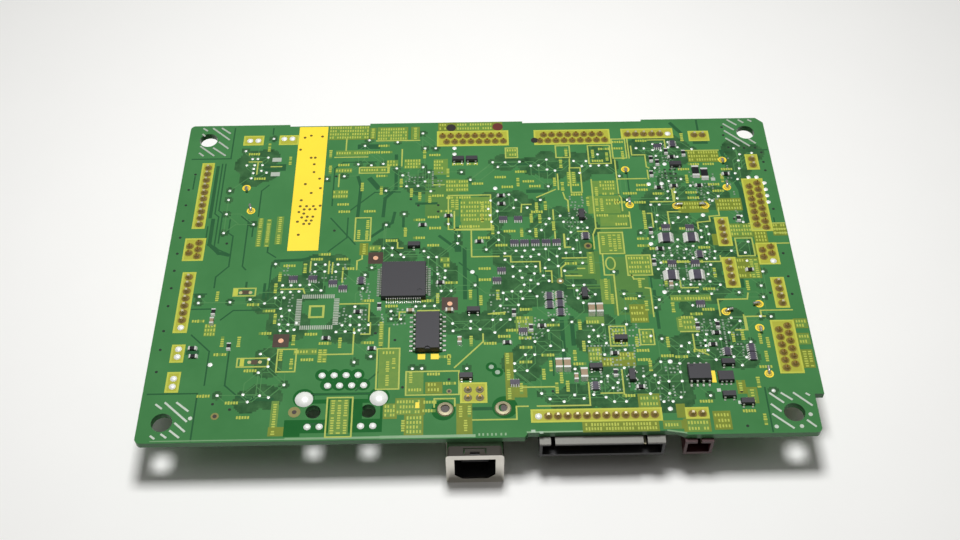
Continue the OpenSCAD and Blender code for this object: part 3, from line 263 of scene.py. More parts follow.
# --- Plated vias ---
# Drilled holes of 0.3 mm, copper plated and closed with a bright bead of solder, which carry
# the tracks from face to face. BIG_VIAS are wider, for supply current.
VIAS = [
    (13.8, 82.3), (20.3, 86.4), (19.5, 80), (15.7, 79.6), (17, 79.6), (14.5, 77.5), (16.4, 77.5), (18.3, 77.5),
    (16.3, 76.3), (18.2, 75.6), (16.3, 74.9), (19.5, 75), (16, 73.2), (11.3, 69.2), (11.3, 66.3), (11.3, 61.8),
    (11.3, 56), (18, 58.5), (43, 83.5), (44, 85.4), (51, 84.6), (57.2, 87.5), (41.6, 77.3), (44.8, 76.9),
    (47.7, 77.3), (51, 75.7), (52.5, 73.4), (57.8, 82.3), (60.4, 82.3), (57.4, 76), (58.8, 74.3), (53.5, 69.8),
    (56.2, 69.9), (57.9, 71.3), (59.3, 68.1), (48.6, 68.5), (66.7, 74.2), (68.8, 71.6), (38.4, 73.4),
    (34.3, 72.6), (74.3, 77.3), (75.5, 75.7), (77.3, 77.2), (80.8, 77.3), (83.5, 75.9), (85.4, 76),
    (87.4, 77.9), (87.4, 74.6), (89.3, 74.2), (94, 77.3), (97, 77.2), (95.9, 75.6), (98, 75.6), (100, 75.7),
    (102, 75.7), (100, 79.4), (104.7, 72.1), (95.2, 73.3), (87.4, 69.1), (77.9, 66.6), (73.5, 64.8),
    (79.5, 64.9), (85.3, 64.8), (72.9, 62.2), (78.9, 62.4), (82.1, 62.4), (75, 61.5), (105.9, 64.4),
    (113.8, 82.6), (115.8, 82.6), (117.6, 83.2), (111.5, 81.2), (109.6, 81.3), (113.6, 80.6), (115.6, 80.4),
    (117.5, 81.4), (119.8, 81.4), (114.2, 78.6), (119.4, 78.2), (113.5, 74.6), (119.4, 70.8), (121.4, 68.6),
    (116.4, 70.2), (115.8, 66.9), (117.5, 66.6), (125.3, 66.2), (127.6, 65.1), (125.3, 64.1), (126, 63.7),
    (112.9, 64.7), (115.5, 64.7), (117.8, 64.6), (111.3, 62.7), (113.3, 62.7), (134.7, 78.7), (134.1, 76.6),
    (133.9, 74), (132.7, 72.4), (133, 70.5), (123.2, 80.7), (137.7, 79.1), (133.5, 80.7), (8, 37.5), (8, 35.7),
    (15, 35.8), (19.4, 36.5), (24.2, 46.5), (33.3, 46.2), (33.3, 44.1), (35.5, 46.1), (35.5, 44.1),
    (26.3, 40.3), (28.2, 40.3), (30.2, 40.3), (32.3, 40.4), (26.3, 38.4), (28.2, 38.4), (30.1, 38.5),
    (35, 38.7), (33, 38.9), (25, 36.8), (26.9, 36.8), (22.7, 35.3), (28.4, 33.3), (26.8, 31.7), (26.4, 33.8),
    (53.1, 61), (49, 57.7), (65.9, 54), (65.6, 51.8), (57.9, 49.6), (48.6, 50.7), (50.6, 50.7), (50.6, 48.6),
    (52.6, 48.7), (53.3, 48), (58.9, 47.8), (60.8, 47.8), (46.1, 45), (44.7, 42.9), (44.3, 39.1), (61.1, 42.9),
    (62.8, 43.8), (62.7, 41.8), (61.9, 38), (64.1, 38), (69.5, 39.5), (38.4, 46.1), (38, 44), (60.4, 33.9),
    (58.2, 33.9), (56.3, 33.8), (50.8, 32.6), (42.8, 34), (43.9, 31.1), (41.9, 31.4), (50.9, 30.5), (53, 30.4),
    (63.5, 57.7), (73.3, 60.2), (73.6, 58.2), (75, 61.4), (89.7, 59.7), (87.1, 58.9), (86.2, 57.2),
    (90.4, 57.8), (92.6, 59), (94.6, 57.7), (93.6, 55.9), (95.8, 55.9), (82.4, 55.1), (85.1, 55.4),
    (75.1, 54.8), (75.1, 52.6), (91.1, 52.6), (93.1, 52.2), (91.9, 54.6), (72.2, 49.8), (76.4, 48.6),
    (76.4, 46.7), (79, 49.3), (81, 49.3), (83, 49.6), (85.8, 49.7), (89, 49.7), (92.1, 49.6), (84.2, 48.1),
    (80.3, 47.5), (82.3, 47.5), (88.3, 47.5), (90.4, 48.4), (93.7, 48.5), (86.4, 46.5), (94, 45.4),
    (78.1, 44.7), (81.3, 44.6), (83.3, 44.6), (88.4, 44.6), (85.4, 44.1), (79.7, 43.4), (89.8, 43.2),
    (82.9, 42.6), (78.1, 41.8), (84.9, 41.9), (80.1, 41.4), (82, 40.7), (86.1, 40.4), (88.7, 40.3),
    (80.5, 39.4), (83.6, 39.6), (91.5, 39), (93.9, 39.1), (92.2, 37.6), (75.7, 37.2), (77.7, 37.6),
    (79.7, 37.5), (81.7, 37.6), (83.2, 36.1), (96.2, 36.4), (92.3, 35.4), (80, 35.5), (76.4, 35.4),
    (93.4, 34.1), (75, 33.6), (79, 33.8), (102.6, 36.4), (106, 35.7), (102.6, 32.3), (100.9, 42.7),
    (73.2, 29.8), (75, 29.8), (77, 29.8), (112.5, 59.4), (117.3, 58.6), (119.3, 58.7), (112, 57.4), (114, 57),
    (115.9, 57), (132.2, 58.8), (132.3, 56.9), (108.1, 54.1), (110.7, 52.8), (116.4, 51.9), (122.1, 54.5),
    (123.6, 55.7), (123.8, 53.4), (122, 52.5), (132.5, 50.9), (123, 50.8), (116.1, 49.8), (119.7, 49.9),
    (114.2, 49.4), (118, 49), (122.2, 48.1), (124.5, 48.2), (128.3, 48.3), (131.4, 47.7), (110.5, 47.2),
    (112.5, 47.2), (114.5, 47.2), (117.3, 46.4), (119.3, 46.4), (122.3, 46.1), (124.2, 46.2), (111.8, 45.1),
    (131.4, 45.3), (123, 44.3), (111, 43.3), (113, 43.3), (122.1, 41.6), (134.5, 42.1), (116.4, 40.3),
    (122.2, 39.5), (124.4, 38.5), (133.5, 38.1), (114.6, 38.8), (117.8, 38.7), (119.8, 38.7), (115, 36.8),
    (117, 36.8), (119, 36.8), (128.3, 36.3), (122.1, 36), (110.3, 34.6), (133.5, 34.9), (117.5, 32.9),
    (109.3, 32.4), (23.1, 21.7), (23.1, 16.9), (25, 20.3), (25, 18.4), (15, 11.3), (20.4, 11.4), (23.9, 11.1),
    (25.8, 10.6), (21.5, 9.6), (28.8, 13.7), (26.8, 27.8), (28.4, 27.7), (26.4, 29.5), (28.4, 29.4), (29.8, 28),
    (30.2, 29.8), (43.3, 19.2), (46.8, 20.6), (64.4, 29), (64.5, 27), (55.8, 17.3), (57.8, 17.3), (67.4, 17.1),
    (68.4, 29.5), (68.3, 27.6), (70.4, 27.3), (40.2, 29), (42, 29), (44, 29), (46, 29), (39, 27.2), (41, 27.3),
    (43, 26.9), (44, 27.6), (73.6, 26.4), (82.2, 23.8), (85.5, 22.6), (88.2, 21.4), (80, 20.4), (82, 20.4),
    (77.6, 18.2), (77.6, 16.3), (80.2, 16.3), (85.2, 26.7), (86.4, 29.5), (90.5, 28.9), (95.1, 26.6),
    (97.2, 28), (96, 25), (97.6, 23.1), (97, 20.1), (94, 24.9), (93.9, 23.5), (90.4, 16.5), (95.7, 13.2),
    (99.2, 12.9), (97.2, 14.6), (98.1, 11.6), (102.4, 28), (107.4, 24.8), (101.5, 21.3), (100.9, 16.6),
    (104.8, 14.4), (105.8, 10), (83, 10.5), (84.7, 9.1), (91.8, 9.1), (96.4, 9.3), (98.1, 8.2), (100.6, 8.2),
    (89.9, 10), (87.6, 8.4), (93.9, 10), (117.7, 29), (122, 28.8), (125.5, 29.3), (127.3, 28.4), (119.5, 25),
    (117.5, 24.9), (124.5, 25.4), (122.4, 23.7), (119, 23.4), (115.5, 22.8), (113.7, 22), (119, 22),
    (124.5, 21.6), (128.8, 22.8), (115, 20.4), (117, 19.3), (119.3, 20.8), (124.6, 19), (120.7, 18.3),
    (126.1, 16.8), (127.3, 18.8), (108.8, 18), (112.8, 17.5), (112.7, 15.3), (112.8, 13), (107.2, 14.6),
    (107.8, 12.7), (110, 13), (109.8, 10), (118.3, 9.3), (112.1, 9), (108.4, 8), (110.3, 8), (109.7, 24),
    (134.3, 29.5), (131.6, 10.3), (132, 29.6)]
BIG_VIAS = [
    (65, 82.2), (65, 80.2), (74.7, 68.7), (116, 75.8), (114.6, 69.4), (111.5, 69.3), (68.9, 43.3),
    (123.2, 59.2), (110.1, 50.7), (111.7, 36.7), (12.6, 19.1), (110.8, 18), (109.5, 6.2), (135.7, 71),
    (137.6, 71), (139.2, 69.1), (139.2, 67), (139.2, 65), (139.2, 63)]
# Reflowed solder: a bright white metal, dulled a little where flux has dried on it.
bright_solder = surface("bright_solder", ("#F8FAF6", "#E4E8E2"), grain=0.9, rough=(0.25, 0.4),
                        bump=0.02, metallic=0.15)


def beads(name, places, under=False):
    """Low round beads: a rim, a shoulder and a crown for each (x, y, radius, height)."""
    points, faces, sides = [], [], 12
    for x, y, r, high in places:
        first = len(points)
        for share, rise in ((1, 0.0), (0.93, 0.45), (0.6, 0.9)):
            points += [at(px, py, high * rise, under) for px, py in disc(x, y, r * share, sides)]
        points.append(at(x, y, high, under))
        for i in range(sides):
            a, b = i, (i + 1) % sides
            quads = [(first + ring + a, first + ring + b, first + ring + sides + b, first + ring + sides + a)
                     for ring in (0, sides)]
            quads.append((first + 2 * sides + a, first + 2 * sides + b, first + 3 * sides))
            faces += [q[::-1] if under else q for q in quads]
    lay(name, points, faces, bright_solder, smooth=True)


beads("via_beads", [(x, y, 0.35, 0.07) for x, y in VIAS] + [(x, y, 0.54, 0.1) for x, y in BIG_VIAS])
beads("via_beads_under", [(x, y, 0.32, 0.06) for x, y in VIAS + BIG_VIAS], under=True)

# Open vias: holes without a bead, which look down into shade.
OPEN_VIAS = [
    (1.4, 69.7), (1.4, 64.8), (1.4, 59.9), (1.4, 54.8), (1.4, 50), (1.4, 45), (1.4, 40), (1.4, 35), (1.4, 28.2),
    (1.4, 23.2), (1.4, 17.5), (2.4, 74.7), (12.4, 52.8), (36.5, 73.4), (54.6, 65.6), (56.4, 63.6), (61.1, 63.6),
    (61.1, 61.6), (37, 56.2), (131.6, 88.1), (131.6, 85.3), (132.3, 81.1), (136.1, 80.8), (138.8, 80.8),
    (140.1, 79.2), (140.1, 76), (140.1, 73.2), (130.3, 57.9), (140, 60.8), (140, 47.3), (140, 40.6),
    (140, 35.6), (135.2, 36), (14.3, 9.2), (18, 7.8), (47.6, 26.7), (51.9, 24.8), (63.6, 14.4), (53.8, 12.6),
    (124.9, 1.8), (124.9, 10.2), (124.2, 23.2), (85.4, 11)]
OPEN_VIAS += [(x, y) for x in (115.8, 117.1, 118.3) for y in (73.9, 72.6, 71.2)]
# Painted shade: a flat disc of dark green, unlit mask stands for the wall and dark inside of each hole.
painted_hole_shade = surface("painted_hole_shade", ("#0C1D10", "#14291A"), grain=2, rough=(0.7, 0.8))
film("open_vias", [disc(x, y, 0.32) for x, y in OPEN_VIAS], painted_hole_shade, thick=0.018)

# --- Tracks under the mask ---
# Etched copper 0.035 mm thick shows through the mask as pale green. Between the copper the bare
# laminate makes the mask look darker, so crowded parts of the board are dark with pale tracks.
def masked(name, colours, grain):
    """The mask over something other than a full sheet of copper."""
    return surface(name, colours, grain, rough=(0.13, 0.2), Specular_IOR_Level=MASK_GLOSS)


# Over bare laminate the mask is dark. Round crowded vias it lies over scraps of both, so it is mottled.
bare_under_mask = masked("bare_under_mask", ("#2A5638", "#325F3B"), grain=3)
crowded_mask = masked("crowded_mask", ("#10321F", "#4C7A4C"), grain=2.2)
copper_under_mask = masked("copper_under_mask", ("#4A7E4C", "#588A56"), grain=2)
# The dark ground is the union of discs round the vias, filled in rows of cells.
CROWDED = [v for v in VIAS if sum(math.dist(v, w) < 4.5 for w in VIAS) > 3]
CROWDED_CLEAR, VIA_CLEAR, CELL, LAST_ROW = 3.0, 1.1, 0.4, 90
clear = []
for row in range(int(LAST_ROW / CELL)):
    y = (row + 0.5) * CELL
    reach = [(x, math.sqrt(max(0, r * r - (vy - y) ** 2)))
             for places, r in ((CROWDED, CROWDED_CLEAR), (VIAS, VIA_CLEAR))
             for x, vy in places if abs(vy - y) < r]
    spans = sorted((round((x - half) / CELL), round((x + half) / CELL)) for x, half in reach)
    while spans:
        start, end = spans.pop(0)
        while spans and spans[0][0] <= end:
            end = max(end, spans.pop(0)[1])
        if end > start:
            clear.append(box(start * CELL, y - CELL / 2, end * CELL, y + CELL / 2))
film("clearances", clear, crowded_mask, thick=0.003)


def elbow(a, b):
    """A track from a to b: a 45 degree stretch, then a straight one."""
    dx, dy = b[0] - a[0], b[1] - a[1]
    step = min(abs(dx), abs(dy))
    return [a, (a[0] + math.copysign(step, dx), a[1] + math.copysign(step, dy)), b]


# Tracks run from each via to its second, fourth and fifth neighbour.
TRACK_WIDTH, LONGEST_TRACK = 0.17, 8
tracks = []
for i, start in enumerate(VIAS):
    near = sorted((math.dist(start, w), k) for k, w in enumerate(VIAS) if k != i)[:5]
    for rank in (1, 3, 4):
        far, k = near[rank]
        if far < LONGEST_TRACK:
            tracks += run(elbow(start, VIAS[k]), TRACK_WIDTH)
film("tracks", tracks, copper_under_mask, thick=0.0085)
# Narrow gaps part the sheets of copper.
GAPS = [
    [(8.6, 78), (8.6, 62), (9.6, 61), (9.6, 52), (10.6, 51), (13.4, 49.5)],
    [(9.4, 78), (9.4, 63), (10.4, 62), (10.4, 53)], [(12.4, 60), (12.4, 56), (13.6, 55), (13.6, 46), (11, 43)],
    [(11, 43), (11, 40)], [(16.7, 60), (16.7, 46), (17.5, 45)], [(18.9, 69), (18.9, 61)],
    [(18.9, 69), (20.5, 70.8)], [(36, 60), (42, 52)], [(6.3, 38.2), (9.5, 38.2)], [(6.3, 34), (11.5, 34)],
    [(15, 61), (17.8, 58.2)], [(23.3, 36), (23.3, 46), (24.3, 47.2), (30, 47.6)],
    [(16.3, 24), (16.3, 13.8), (19.5, 10.8), (26, 10.3)], [(35, 11.2), (47, 11.2)], [(85.8, 15), (85.8, 26)],
    [(2.4, 74), (2.4, 70)], [(7.4, 58), (7.4, 52)], [(18, 57.6), (18, 54.8)], [(22, 56), (22, 50), (24, 48.5)],
    [(40, 62), (46, 68), (52, 68)], [(7.6, 27), (12, 22.6), (12, 14)], [(36, 50), (40, 54), (40, 60)],
    [(106.6, 62), (106.6, 74)], [(98, 84), (98, 80), (101, 77)], [(44, 12), (49, 17), (49, 24)],
    [(20, 90), (20, 88)], [(139.6, 58), (139.6, 54)], [(36, 64), (36, 76), (38, 78), (46, 78)],
    [(13.5, 31), (16, 33.5), (22, 33.5)], [(34, 4), (38, 4)], [(106, 44), (109, 41), (109, 38)],
    [(66, 46), (70, 42), (70, 32)]]
LINE = 0.34
WIDE_GAPS = [(22, 36.6, 22.6, 41), (17.9, 39.7, 18.4, 41.5)]
film("mask_gaps", runs(GAPS, LINE) + boxes(WIDE_GAPS), bare_under_mask, thick=0.0055)
# Broad gaps part the supply areas: (width, points).
BROAD = [
    (1.5, (65.7, 50), (65.7, 56)), (0.8, (42.2, 60), (42.6, 70), (41.8, 73)),
    (0.8, (48.2, 60.5), (48.5, 66), (51, 69), (50.8, 80)), (0.7, (56, 64.2), (60.6, 64.2)),
    (0.7, (45.8, 54.3), (50.4, 58.4), (50.9, 61.4)), (0.7, (61.5, 54), (65.2, 50.4)),
    (0.6, (53, 57.2), (53, 61.3)), (1, (76.2, 76.3), (83.4, 76.3)), (0.8, (84, 73.7), (90, 73.9)),
    (1.1, (82.6, 67.6), (87, 67.6)), (0.9, (88.3, 19), (88.3, 29)), (0.9, (90.5, 23), (90.5, 30)),
    (0.5, (125.5, 87), (125.5, 90.6)), (0.9, (124.2, 82.9), (127, 82.9)),
    (1.2, (131.2, 74), (133.2, 67), (133.2, 57)), (0.9, (130.3, 79.8), (131.2, 74.5)),
    (0.8, (129.4, 38), (129.4, 46)), (0.8, (7.6, 61), (7.6, 77)),
    (0.9, (8.4, 60), (8.4, 52.6), (10.8, 50), (13, 49.4)), (0.9, (67.2, 36), (67.2, 50)),
    (0.8, (24.2, 47.4), (30, 47.6), (34, 48.6)), (1, (20.6, 10.6), (26.4, 10.1)), (0.6, (97, 52), (97, 55.4)),
    (1.2, (7.6, 22.4), (9.2, 22.4)), (2.2, (19.3, 76.6), (23, 76.6)), (0.7, (109.4, 27), (109.4, 37)),
    (1, (37, 47.4), (37, 40.5)), (0.8, (68.6, 7), (72.6, 7)), (1.6, (42, 83.2), (46, 83.2)),
    (1.3, (44.8, 72.2), (46.6, 69.6)), (0.9, (119, 89.6), (121, 86.5))]
film("broad_gaps", [s for g in BROAD for s in run(g[1:], g[0])], bare_under_mask, thick=0.0045)
# The missing network socket stands in an area without copper on this face.
COPPER_FREE_AND_SHADOW = [box(29.6, 1, 33, 5), box(33, 1.8, 49.8, 5), box(33, 8.9, 49.8, 9.9), box(38, 5, 45.6, 8.9),
         box(49.3, 5, 49.8, 8.9), box(34.8, 10.9, 47, 11.5)]
# The two wide discs round the legs of the USB socket, at (62.4, 6.8) and (75.2, 7.3), are painted shadow.
COPPER_FREE_AND_SHADOW += [disc(x, y, r, 20) for x, y, r in (
    (36.7, 16, 1.5), (39.2, 16, 1.5), (41.7, 16, 1.5), (44.2, 16, 1.5), (37.9, 13.5, 1.5), (40.4, 13.5, 1.5),
    (42.9, 13.5, 1.5), (45.5, 13.5, 1.5), (48.9, 10.3, 2.3), (33.2, 10.3, 2.3), (62.4, 6.8, 2.5),
    (75.2, 7.3, 2.7), (72.6, 17.4, 1.2), (73.9, 16, 1.2), (95.6, 50.4, 1.5))]
film("copper_free_and_leg_shadows", COPPER_FREE_AND_SHADOW, masked("copper_free_and_shadow_mask", ("#1C562A", "#25662F"), grain=6), thick=0.0035)

# Over the middle of the board the ink of the legend has spread thinly between the outlines.
SPREAD = [(97.9, 55.8, 105.8, 62), (97.9, 47.6, 104, 55.4), (100, 30.6, 108.4, 47), (90, 38, 97.8, 48.8),
          (58, 60, 66, 72), (111.8, 60, 116.8, 68)]
film("spread_ink", boxes(SPREAD), masked("spread_ink", ("#4C743C", "#598446"), grain=5), thick=0.0018)
# Painted highlight: pale strips along the routed front edge and its recesses, and a row of short pale ticks.
EDGE_TICKS = (69.6, 70.4, 71.3, 72.2, 73, 74.1, 75)
edge_glints = [box(30, 0.3, 49.4, 0.8), box(49.4, 0.25, 69, 0.9)] + [box(x, 0.5, x + 0.35, 1.1) for x in EDGE_TICKS]
edge_glints += [box(79.5, 1, 91, 1.35), bar(108.3, 1.1, 112.3, 0.4, 0.35), box(2.5, 0.35, 30, 0.6)]
film("painted_edge_glint", edge_glints,
     surface("painted_edge_glint", ("#7C9F74", "#5F8C5E"), grain=4, rough=(0.3, 0.4)), thick=0.0075)

# --- Tinned corner fields ---
# Bare copper round each screw hole, tinned in slanting stripes for the chassis screw to earth on.
# The wave of molten tin leaves each stripe thick, bright, and slightly uneven.
STRIPES = [
    (2.4, 9.4, 3.9, 8.2), (4.3, 9.8, 9.5, 5), (6.7, 9.8, 9.5, 7.5), (7, 4.8, 9.4, 2.6), (6.2, 3, 8.4, 1.2),
    (4.5, 2.2, 5.8, 1.2), (2.4, 1.8, 3.4, 1), (130.6, 9.7, 133.3, 7.2), (133, 9.7, 135.2, 7.9),
    (135.6, 9.7, 139.1, 6.4), (138.2, 9.5, 139, 8.9), (130.5, 7, 132.4, 5.1), (130.4, 4.6, 134.4, 1),
    (137.3, 3, 139, 1.3), (2.4, 90.4, 3.6, 89.4), (2.4, 88.4, 3.2, 87.6), (4.8, 90.4, 9.4, 86.2),
    (7, 90.4, 9.4, 88.4), (6.8, 85.6, 9.4, 83.2), (5.6, 83.6, 9, 80.8), (2.4, 84.2, 6.2, 80.8),
    (2.4, 81.9, 3.6, 80.8), (133.2, 90.7, 135.4, 88.7), (136, 90.6, 137.2, 89.5), (138.4, 90.6, 139.3, 89.9),
    (132, 89.3, 134.5, 87), (132, 86.9, 137.6, 81.4), (132, 84.3, 135.1, 81.3), (137.6, 84, 139.2, 82.3)]
# Wave-tinned copper: pale grey-white metal with a broad soft gloss.
tinned_copper = surface("tinned_copper", ("#D3DCD0", "#B7C2B4"), grain=1.6, rough=(0.3, 0.45),
                        bump=0.03, metallic=0.4)
STRIPE, DOT = 0.44, 0.45
DOTS = [(10.1, 5.8), (130.8, 1.5), (136, 1.5), (138.3, 4.3), (131.6, 10.2)]
film("corner_stripes", [bar(*s, STRIPE) for s in STRIPES] + [disc(x, y, DOT) for x, y in DOTS],
     tinned_copper, thick=0.05)
FIELD_EDGES = [[(10.8, 0.4), (10.8, 11.9), (0.4, 11.9)], [(129.9, 0.4), (129.9, 11)],
               [(10.4, 90.2), (10.4, 79.8), (1, 79.8)], [(130.6, 80.1), (141.6, 80.1)]]
film("field_gaps", runs(FIELD_EDGES, 0.35), bare_under_mask, thick=0.006)

# --- Yellow legend ---
# Screen-printed epoxy ink, about 0.03 mm thick: a solid band for a sticker, filled boxes round the
# connectors' joints, outlines of parts, and rows of small bars where the parts are named.
def ink(name, colours, grain):
    """Matt epoxy ink, thin enough for the green of the mask to tint it."""
    return surface(name, colours, grain, rough=(0.5, 0.65), Specular_IOR_Level=0.2)


# Thick ink hides the mask and shows its own yellow. In thin lines and small bars the green comes through.
legend_yellow = surface("legend_yellow", ("#FBE23A", "#F2CE2C"), grain=14, rough=(0.45, 0.6), bump=0.01)
legend_thin = ink("legend_thin", ("#B4BC5E", "#96A84A"), grain=2)
legend_small = ink("legend_small", ("#BAC256", "#9EAA44"), grain=1.2)
film("sticker_band", [box(26.5, 50.3, 33.6, 90.3)], legend_yellow, thick=0.03)
BAND_VIAS = [
    (28, 86.6), (29.5, 87.3), (32.3, 86.9), (27.2, 82.5), (30, 79.7), (31, 79.7), (30.9, 77.5), (31, 74.9),
    (32.5, 72.7), (29.2, 71), (32.9, 69.6), (30.8, 68.1), (28.6, 65.8), (28.5, 63.9), (30, 63.9), (31.6, 63.9),
    (33.2, 64), (29.5, 62.9), (30.8, 62.9), (32.1, 62.9), (28.3, 62.1), (29.5, 61.6), (29.1, 60.4),
    (30.4, 60.6), (31.7, 60.6), (28.2, 59.1), (30.2, 59.4), (31.4, 59.4), (29.7, 58.4), (31, 58.4),
    (28.7, 55.1)]
# Each via under the band leaves a dip where the ink has run thin over the solder.
band_dip = surface("band_dip", ("#5A4A08", "#6E5C10"), grain=1, rough=(0.5, 0.6))
film("band_dips", [disc(x, y, 0.36) for x, y in BAND_VIAS], band_dip, thick=0.036)

# Filled boxes of thinner ink, with thicker rims, lie under the rows of joints.
JOINT_BOXES = [
    (3.9, 57.6, 6.5, 78.2), (3.6, 27.8, 6.3, 44.3), (2.9, 48, 7.3, 54.3), (13.1, 84.4, 17.7, 87.3),
    (21.9, 84.4, 26.4, 87.3), (4, 20, 6.5, 24.3), (4, 12.4, 6.5, 17.2), (60.9, 83.1, 78.2, 87.9),
    (84.9, 83.1, 103.3, 87.8), (106.5, 84.8, 119, 87.8), (123.1, 83.6, 127.8, 86.7), (136, 73.7, 138.7, 78.4),
    (134, 54.2, 138.7, 70.4), (125.8, 49.9, 128.7, 58.3), (125.8, 37.8, 128.7, 46.2),
    (134.3, 44.3, 138.7, 50.3), (136, 32, 138.7, 40.2), (134, 14.7, 138.8, 28.3), (80.7, 3.6, 107.5, 6.4),
    (112.7, 3.9, 117.2, 6.3), (66.1, 8.6, 71.4, 13.3)]
film("joint_boxes", boxes(JOINT_BOXES), ink("legend_fill", ("#B0B23E", "#9C9E36"), grain=2.4), thick=0.02)
DIODE_ENDS = [box(15.5, 37.6, 16.5, 39.5), box(18.9, 18.6, 19.8, 20.5)]
film("joint_box_rims", [s for b in JOINT_BOXES for s in rim(*b, 0.42)] + DIODE_ENDS,
     ink("legend_rim", ("#BEC44E", "#ACB242"), grain=3), thick=0.03)
# Flux has stained the ring of mask round each joint: (x, y, count, pitch, gap of rows, upright).
JOINT_ROWS = [
    (5.3, 67.75, 10, 2, 0, 1), (5, 37.05, 7, 2, 0, 1), (111.9, 86.1, 5, 2, 0, 0), (125.4, 85.5, 2, 2, 0, 0),
    (137.4, 76, 2, 2, 0, 1), (137.4, 36.1, 4, 2, 0, 1), (127.2, 54, 4, 2, 0, 1), (127.2, 42, 4, 2, 0, 1),
    (95.1, 4.9, 12, 2, 0, 0), (115, 4.9, 2, 2, 0, 0), (5, 51.1, 5, 1, -2, 1), (69.6, 85.4, 16, 1, 2, 0),
    (94.1, 85.3, 17, 1, -2, 0), (136.4, 62, 15, 1, -2, 1), (136.4, 47.8, 4, 1, 2, 1),
    (136.4, 21.4, 12, 1, 2, 1)]
STAIN = 0.95
stained = []
for x, y, count, pitch, gap, upright in JOINT_ROWS:
    for i in range(count):
        along, off = (i - (count - 1) / 2) * pitch, gap / 2 * (1 if i % 2 == 0 else -1)
        stained.append(disc(x - off, y + along, STAIN) if upright else disc(x + along, y + off, STAIN))
film("stained_rings", stained,
     surface("flux_stain", ("#8E8030", "#746824"), grain=1, rough=(0.4, 0.5), Specular_IOR_Level=0.2),
     thick=0.028)
# Yellow rings stand round the clinched leads.
LEAD_RINGS = [
    (15.2, 70), (17, 62.7), (106.3, 74.2), (106.3, 62.7), (117.3, 62.2), (124.1, 62.2), (130.2, 76.9),
    (130, 67.9), (124.6, 31), (132.2, 33), (131.3, 26.5), (131.4, 14.5)]
film("lead_rings", [disc(x, y, 1.0, 18) for x, y in LEAD_RINGS], legend_yellow, thick=0.028)
YELLOW_TABS = [(56.9, 19.6, 58.5, 21), (59.7, 19.6, 61.4, 21), (119, 12.5, 120, 15.5), (56.6, 7.4, 57.4, 8.8)]
film("yellow_tabs", boxes(YELLOW_TABS), legend_yellow, thick=0.03)

